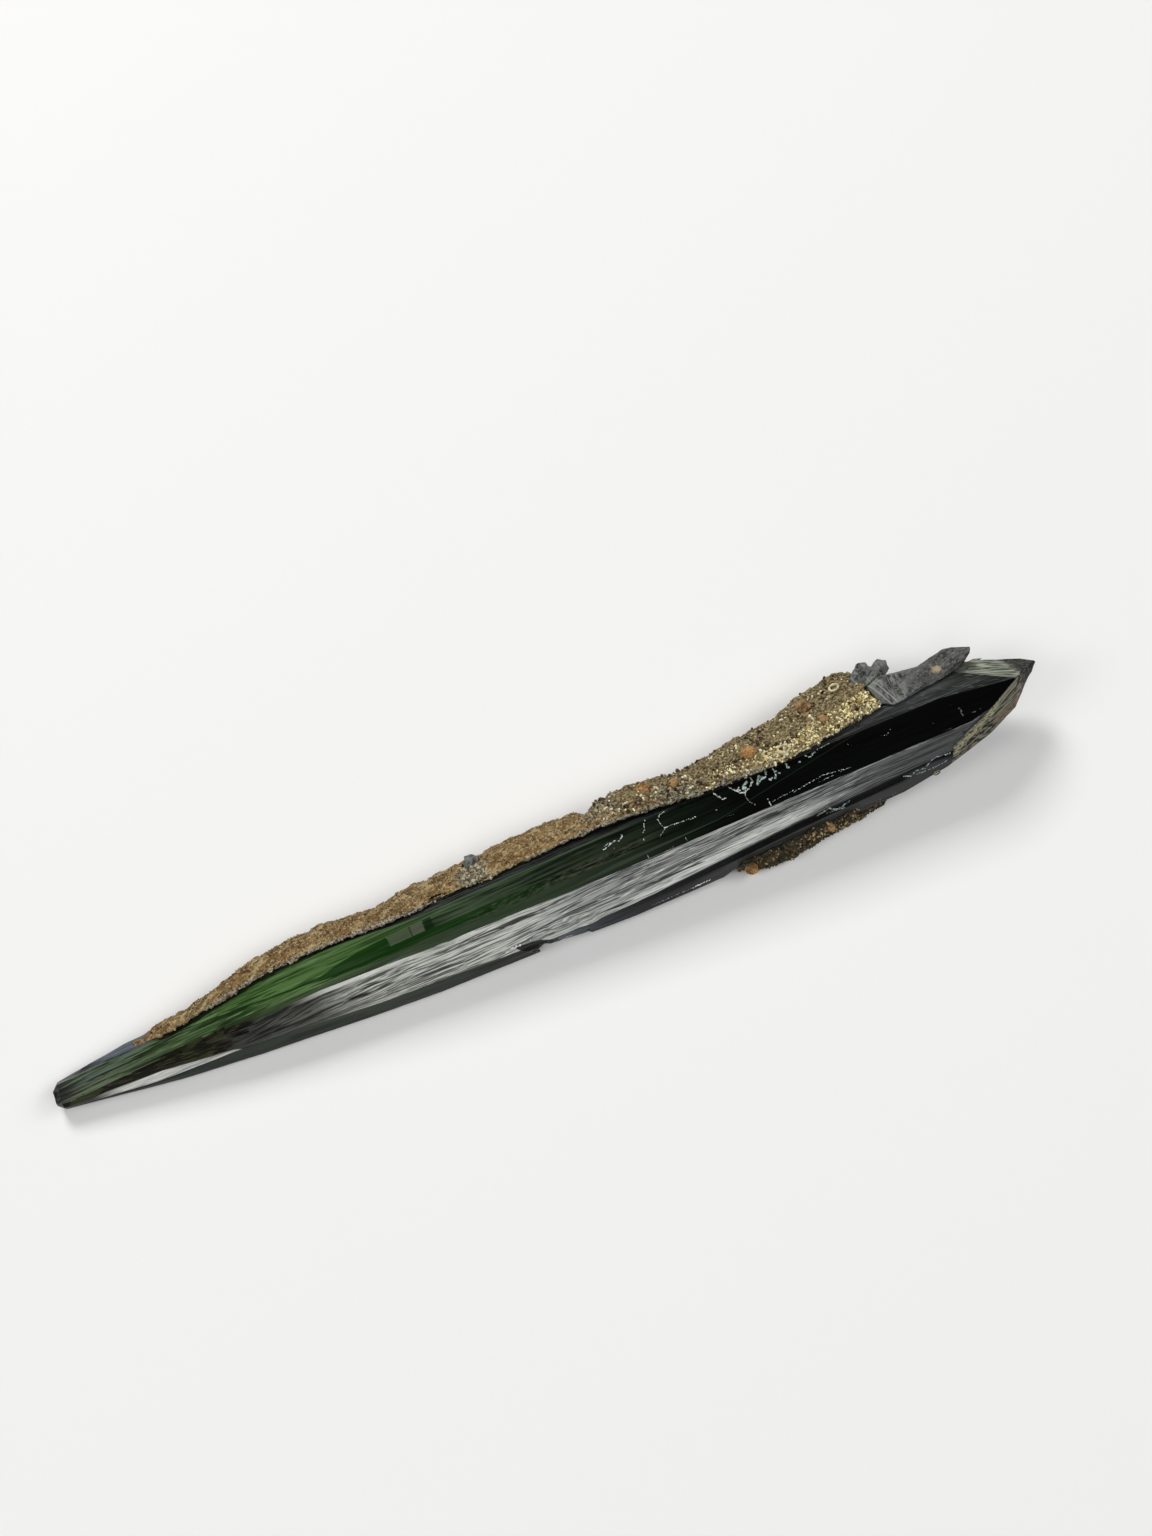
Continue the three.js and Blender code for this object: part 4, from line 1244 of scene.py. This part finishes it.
def slate(name, dark, light, turn):
    f = Finish(name, IOR=CRYSTAL_IOR, Transmission_Weight=0.0, Specular_IOR_Level=0.2)
    fine = f.noise(f.stretch((0.5, 4.0, 4.0), turn), detail=3, roughness=0.65)
    cross = f.noise(f.stretch((4.5, 0.6, 0.6), turn + 20.0), detail=2)
    blotch = f.noise(f.mm, 0.9, detail=5, roughness=0.65)
    dust = f.noise(f.mm, 3.0, detail=4, roughness=0.7)
    colour = f.mix(f.step(blotch, 0.42, 0.58), dark, light)
    colour = f.paint(colour, f.step(fine, 0.55, 0.64), 0.6, srgb(0.46, 0.47, 0.46))
    colour = f.paint(colour, f.step(fine, 0.45, 0.36), 0.6, srgb(0.14, 0.14, 0.14))
    colour = f.paint(colour, f.step(dust, 0.54, 0.64), 0.4, srgb(0.56, 0.56, 0.53))
    west = f.step(f.x, 98.5, 96.0)
    colour = f.paint(colour, f.both(west, f.step(blotch, 0.38, 0.54)), 0.6, srgb(0.47, 0.48, 0.46))
    colour = f.paint(colour, f.both(west, f.step(cross, 0.57, 0.63)), 0.5, srgb(0.57, 0.58, 0.56))
    colour = f.paint(colour, f.both(west, f.step(cross, 0.42, 0.36)), 0.5, srgb(0.21, 0.21, 0.21))
    slant = f.ragged(f.math("ADD", f.x, f.math("MULTIPLY", f.y, 0.35)), 0.08)
    for edge in (94.85, 95.5):
        ridge = f.both(f.band(slant, edge - 0.06, edge + 0.06, 0.05), f.band(f.y, 1.0, 4.4, 0.3))
        colour = f.paint(colour, ridge, 0.7, srgb(0.64, 0.65, 0.63))
    across = f.math("MULTIPLY", f.math("SUBTRACT", f.x, 100.8), 0.7)
    tan_spot = f.spot(across, f.math("SUBTRACT", f.y, 2.85), 0.60, 0.35)
    colour = f.paint(colour, tan_spot, 0.8, srgb(0.68, 0.61, 0.50))
    normal = f.bump(blotch, 0.10, 0.6)
    normal = f.bump(f.either(fine, dust), 0.06, 0.6, normal)
    rough = f.step(blotch, 0.3, 0.7, 0.45, 0.7)
    return f.use(Base_Color=colour, Roughness=rough, Normal=normal)


SLATE = slate("slate grey crystal", srgb(0.17, 0.17, 0.17), srgb(0.32, 0.32, 0.31), -14.0)
SOOT = slate("dark prisms", srgb(0.11, 0.11, 0.11), srgb(0.30, 0.31, 0.30), -30.0)
ASH = slate("ash crystal", srgb(0.23, 0.23, 0.23), srgb(0.39, 0.39, 0.38), 60.0)
for node, name, strip, dent, finish in (
    ("side_blade", "side_blade_weathered", 0.24, 0.12, SLATE),
    ("small_cluster", "cluster_weathered", 0.12, 0.20, SOOT),
    ("crust_crystal", "crust_crystal_weathered", 0.12, 0.16, ASH),
):
    piece = copy_of(node, name)
    low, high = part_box(node)
    for axis in (X, Y, Z):
        slice_up(piece, axis, from_end(low)[axis] + strip / 2, from_end(high)[axis], strip)
    roughen(piece, dents, height=dent, stretch=(2, 1, 1))
    roughen(piece, grit, height=dent)
    piece.data.materials.append(finish)
    work_on(piece)
    bpy.ops.object.shade_smooth_by_angle(angle=math.radians(24))
    settle(piece, "grey_crystal", node)

# %% [markdown]
# ## Pale films on the crystal
# Where water dried on the blade it left thin white and blue grey films. Each is a chain of flat
# drops that follow a line on the face. A remesh with a very small voxel then runs them together,
# which gives the ragged edge that a drawn outline wouldn't. The glints where the ledge broke
# are made the same way.

# %% Lay the films
bpy.ops.object.select_all(action="DESELECT")
bpy.ops.mesh.primitive_ico_sphere_add(subdivisions=2, radius=1.0)
drop_model = bpy.context.object
DROP_STEP = 0.10
DROP_THICK = 0.045
DROP_WANDER = 0.35
DROP_SIZES = (0.3, 0.95)
FILM_VOXEL = 0.05
OUTSIDE = 20
DOWN, INTO = Vector((0, 0, -1)), Vector((0, 1, 0))


def on_face(x, y, z, way):
    """Where a straight line from outside meets the blade, and the blade's normal there."""
    start = at(x, y, z) - way * OUTSIDE * MM
    hit, place, normal, _ = blade.ray_cast(start, way)
    return (place, normal) if hit else (None, None)


def film(name, lines, way, finish, seed):
    """A film along lines, each a radius and its points; one point alone makes a spot."""
    dice = random.Random(seed)
    placings = []
    for radius, points in lines:
        points = points if len(points) > 1 else points * 2
        for (a0, b0), (a1, b1) in zip(points, points[1:]):
            steps = max(1, round(math.dist((a0, b0), (a1, b1)) / DROP_STEP))
            for n in range(steps + 1):
                a = a0 + (a1 - a0) * n / steps + dice.gauss(0, DROP_WANDER) * radius
                b = b0 + (b1 - b0) * n / steps + dice.gauss(0, DROP_WANDER) * radius
                spot = (a, b, 0) if way == DOWN else (a, 0, b)
                place, normal = on_face(*spot, way)
                if place is None:
                    continue
                size = radius * dice.uniform(*DROP_SIZES) * MM
                shape = Matrix.Diagonal((size, size, DROP_THICK * MM, 1))
                turn = normal.to_track_quat("Z", "Y").to_matrix().to_4x4()
                placings.append(Matrix.Translation(place) @ turn @ shape)
    piece = join_copies(name, drop_model, placings, finish)
    even_net(piece, FILM_VOXEL)
    work_on(piece)
    bpy.ops.object.shade_smooth()
    settle(piece, "crystal")


def film_finish(name, low, high):
    f = Finish(name, IOR=1.45, Specular_IOR_Level=0.3)
    tone = f.noise(f.mm, 3.5, detail=3, roughness=0.7)
    colour = f.mix(f.step(tone, 0.38, 0.62), low, high)
    rough = f.step(tone, 0.3, 0.7, 0.7, 0.5)
    return f.use(Base_Color=colour, Roughness=rough)


WHITE_FILM = film_finish("white film", srgb(0.44, 0.48, 0.45), srgb(0.82, 0.85, 0.81))
BLUE_FILM = film_finish("blue grey film", srgb(0.30, 0.36, 0.35), srgb(0.70, 0.76, 0.74))
film("white_film", [
    (0.10, [(59.6, -0.65), (60.6, -0.4), (61.0, -0.25), (61.5, -0.45), (62.0, -0.1), (62.0, 0.1)]),
    (0.10, [(60.7, -0.9)]), (0.10, [(59.9, -0.35), (60.5, -0.2)]),
    (0.10, [(64.9, 0.5), (64.6, 0.1), (64.4, -0.45), (64.1, -0.7)]), (0.12, [(63.9, -1.45)]),
    (0.085, [(67.3, 0.45), (66.6, 0.4), (66.1, 0.0), (66.1, -0.45), (66.2, -0.9), (66.4, -1.2),
            (67.1, -1.15), (67.9, -1.3), (69.3, -1.45), (69.9, -1.45)]),
    (0.08, [(66.4, -1.2), (66.0, -1.5), (65.5, -1.8)]),
    (0.11, [(72.6, 0.1), (72.9, -0.5), (73.1, -0.95), (73.5, -0.95)]), (0.12, [(72.0, -1.7)]),
    (0.13, [(74.3, 0.1), (74.5, -0.4), (75.1, -1.1), (75.6, -1.25), (76.2, -1.0), (76.8, -0.5),
            (76.8, 0.0)]),
    (0.07, [(75.5, -1.3), (75.4, -1.8), (75.5, -2.4), (75.9, -2.9)]),
    (0.09, [(77.35, -2.9), (77.3, -3.7)]),
    (0.07, [(77.6, -3.4), (80.2, -3.2)]), (0.08, [(80.2, -3.4), (83.6, -3.0), (86.0, -3.3)]),
    (0.06, [(83.0, -3.5), (86.8, -3.4)]),
    (0.07, [(63.4, -3.0), (63.5, -3.4)]), (0.07, [(67.8, -2.9), (67.8, -3.5)]),
    (0.05, [(65.3, -3.5), (66.4, -3.4)]), (0.05, [(72.6, -2.9), (73.4, -2.9)]),
    (0.06, [(87.8, -1.0)]), (0.06, [(88.3, -0.9)]), (0.05, [(88.1, -1.3)]), (0.06, [(88.7, -1.5)]),
    (0.06, [(91.4, -1.6), (92.0, -1.8), (92.7, -1.4)]),
], DOWN, WHITE_FILM, 21)
film("blue_film", [
    (0.22, [(74.9, -0.6), (75.6, -0.8), (76.3, -0.2)]),
    (0.20, [(77.2, -1.0), (77.6, -0.3), (78.1, -0.6), (78.6, -0.2)]),
    (0.16, [(77.7, -0.7), (78.3, -0.6)]),
    (0.15, [(78.5, -1.0), (79.2, -1.2), (79.4, -0.5)]), (0.12, [(79.3, -0.1), (79.8, -0.9)]),
    (0.16, [(80.8, -0.2), (81.0, -0.8)]), (0.17, [(82.1, -0.7)]),
    (0.14, [(83.1, -0.3), (83.6, -0.6), (84.3, -0.3)]), (0.10, [(84.6, -0.2), (86.0, -0.1)]),
], DOWN, BLUE_FILM, 22)
film("faint_film", [
    (0.13, [(100.5, -2.4), (100.4, -3.2)]), (0.10, [(101.4, -3.3), (101.9, -3.4)]),
    (0.10, [(102.5, -3.3)]), (0.07, [(97.1, -2.7)]), (0.06, [(99.8, -1.6)]),
    (0.06, [(97.6, -3.9), (98.6, -4.0)]),
], DOWN, film_finish("faint film", srgb(0.16, 0.17, 0.18), srgb(0.40, 0.41, 0.43)), 25)
film("ledge_film", [
    (0.16, [(82.4, 4.1), (83.9, 4.3), (85.0, 3.6), (86.3, 4.1)]),
    (0.12, [(83.5, 3.8), (85.8, 3.4)]),
    (0.14, [(92.9, 4.4), (93.8, 3.9), (94.4, 4.4), (95.5, 4.2), (96.7, 5.1), (98.6, 4.8)]),
    (0.10, [(94.5, 3.9), (96.8, 3.8), (98.2, 4.1)]),
], INTO, BLUE_FILM, 23)
film("ledge_glints", [
    (0.10, [(52.9, 0.9), (54.0, 0.85)]), (0.13, [(67.5, 1.55), (69.4, 1.6)]),
    (0.07, [(62.8, 1.4), (67.3, 1.55)]),
    (0.16, [(46.5, 3.2), (47.3, 3.4), (48.2, 3.5)]), (0.07, [(49.3, 3.5), (49.4, 4.2)]),
    (0.05, [(50.2, 1.8), (50.6, 1.5)]), (0.04, [(50.8, 2.2), (51.6, 2.0)]),
], INTO, film_finish("broken glint", srgb(0.80, 0.80, 0.80), srgb(0.97, 0.97, 0.97)), 24)
bpy.data.objects.remove(drop_model)
bpy.data.objects.remove(grain_model)

# %% [markdown]
# ## Broken shells
# Tiny shells or gas bubbles broke open and left three rings, two on the crust and one on the
# wall. Each starts as a torus, is squashed and torn by moving its corners at random, and is
# pressed into the surface.

# %% Shell rings
SQUASHED = (1.0, 0.86, 1.3)
TORN = 0.45


def shell_ring(name, place, lean, radius, thick, finish, seed):
    bpy.ops.object.select_all(action="DESELECT")
    bpy.ops.mesh.primitive_torus_add(major_segments=26, minor_segments=8, major_radius=radius * MM,
                                     minor_radius=thick * MM, location=(0, 0, 0))
    ring = bpy.context.object
    ring.name = name
    bpy.ops.object.mode_set(mode="EDIT")
    bpy.ops.mesh.select_all(action="SELECT")
    bpy.ops.transform.resize(value=SQUASHED)
    bpy.ops.transform.vertex_random(offset=thick * TORN * MM, seed=seed)
    bpy.ops.object.mode_set(mode="OBJECT")
    ring.rotation_euler = [math.radians(a) for a in lean]
    ring.location = place
    bpy.ops.object.transform_apply(location=True, rotation=True, scale=True)
    ring.data.materials.append(finish)
    bpy.ops.object.shade_smooth()
    settle(ring, "crust")


SHELL = grain_finish("pale shell", srgb(0.60, 0.56, 0.42), srgb(0.86, 0.83, 0.68), 0.6)
SHELL_BROWN = grain_finish("brown shell", srgb(0.34, 0.30, 0.22), srgb(0.56, 0.52, 0.42), 0.6)
shell_ring("open_shell", at(90.4, 6.2, 6.45), (-28, 0, 20), 0.52, 0.13, SHELL, 5)
shell_ring("wall_ring", at(97.07, -6.1, 2.69), (72, 0, 0), 0.36, 0.07, SHELL_BROWN, 7)
shell_ring("golden_ring", at(81.4, 1.3, 8.35), (-24, 0, 0), 0.62, 0.15, SHELL, 6)

# %% [markdown]
# ## Cracks sealed in the crystal
# Healed cracks cross the blade at x = 36 to 41. They are thin sheets inside the glass, crumpled
# a little, and show as the ends of the pale blocks.

# %% Sealed cracks
VEIL = film_finish("healed crack", srgb(0.34, 0.42, 0.33), srgb(0.52, 0.60, 0.50))
CRACK_ACROSS, CRACK_HIGH, CRACK_THICK, CRUMPLED = 1.1, 1.2, 0.02, 0.02
CRACK_Y, CRACK_Z = -0.2, 5.2
CRACKS = ((36.1, 8), (38.4, -12), (39.9, 5), (40.8, -4))
for number, (x, lean) in enumerate(CRACKS):
    bpy.ops.object.select_all(action="DESELECT")
    bpy.ops.mesh.primitive_grid_add(x_subdivisions=14, y_subdivisions=14, size=1.0)
    crack = bpy.context.object
    crack.name = f"healed_crack_{number + 1}"
    bpy.ops.object.mode_set(mode="EDIT")
    bpy.ops.mesh.select_all(action="SELECT")
    bpy.ops.transform.resize(value=(CRACK_HIGH * MM, CRACK_ACROSS * MM, MM))
    bpy.ops.transform.vertex_random(offset=CRUMPLED * MM, seed=number)
    bpy.ops.object.mode_set(mode="OBJECT")
    crack.rotation_euler = (0, math.radians(90 + lean), 0)
    crack.location = at(x, CRACK_Y, CRACK_Z)
    bpy.ops.object.transform_apply(location=True, rotation=True, scale=True)
    thicken = crack.modifiers.new("thickness", "SOLIDIFY")
    thicken.thickness = CRACK_THICK * MM
    apply_all(crack)
    crack.data.materials.append(VEIL)
    settle(crack, "crystal")
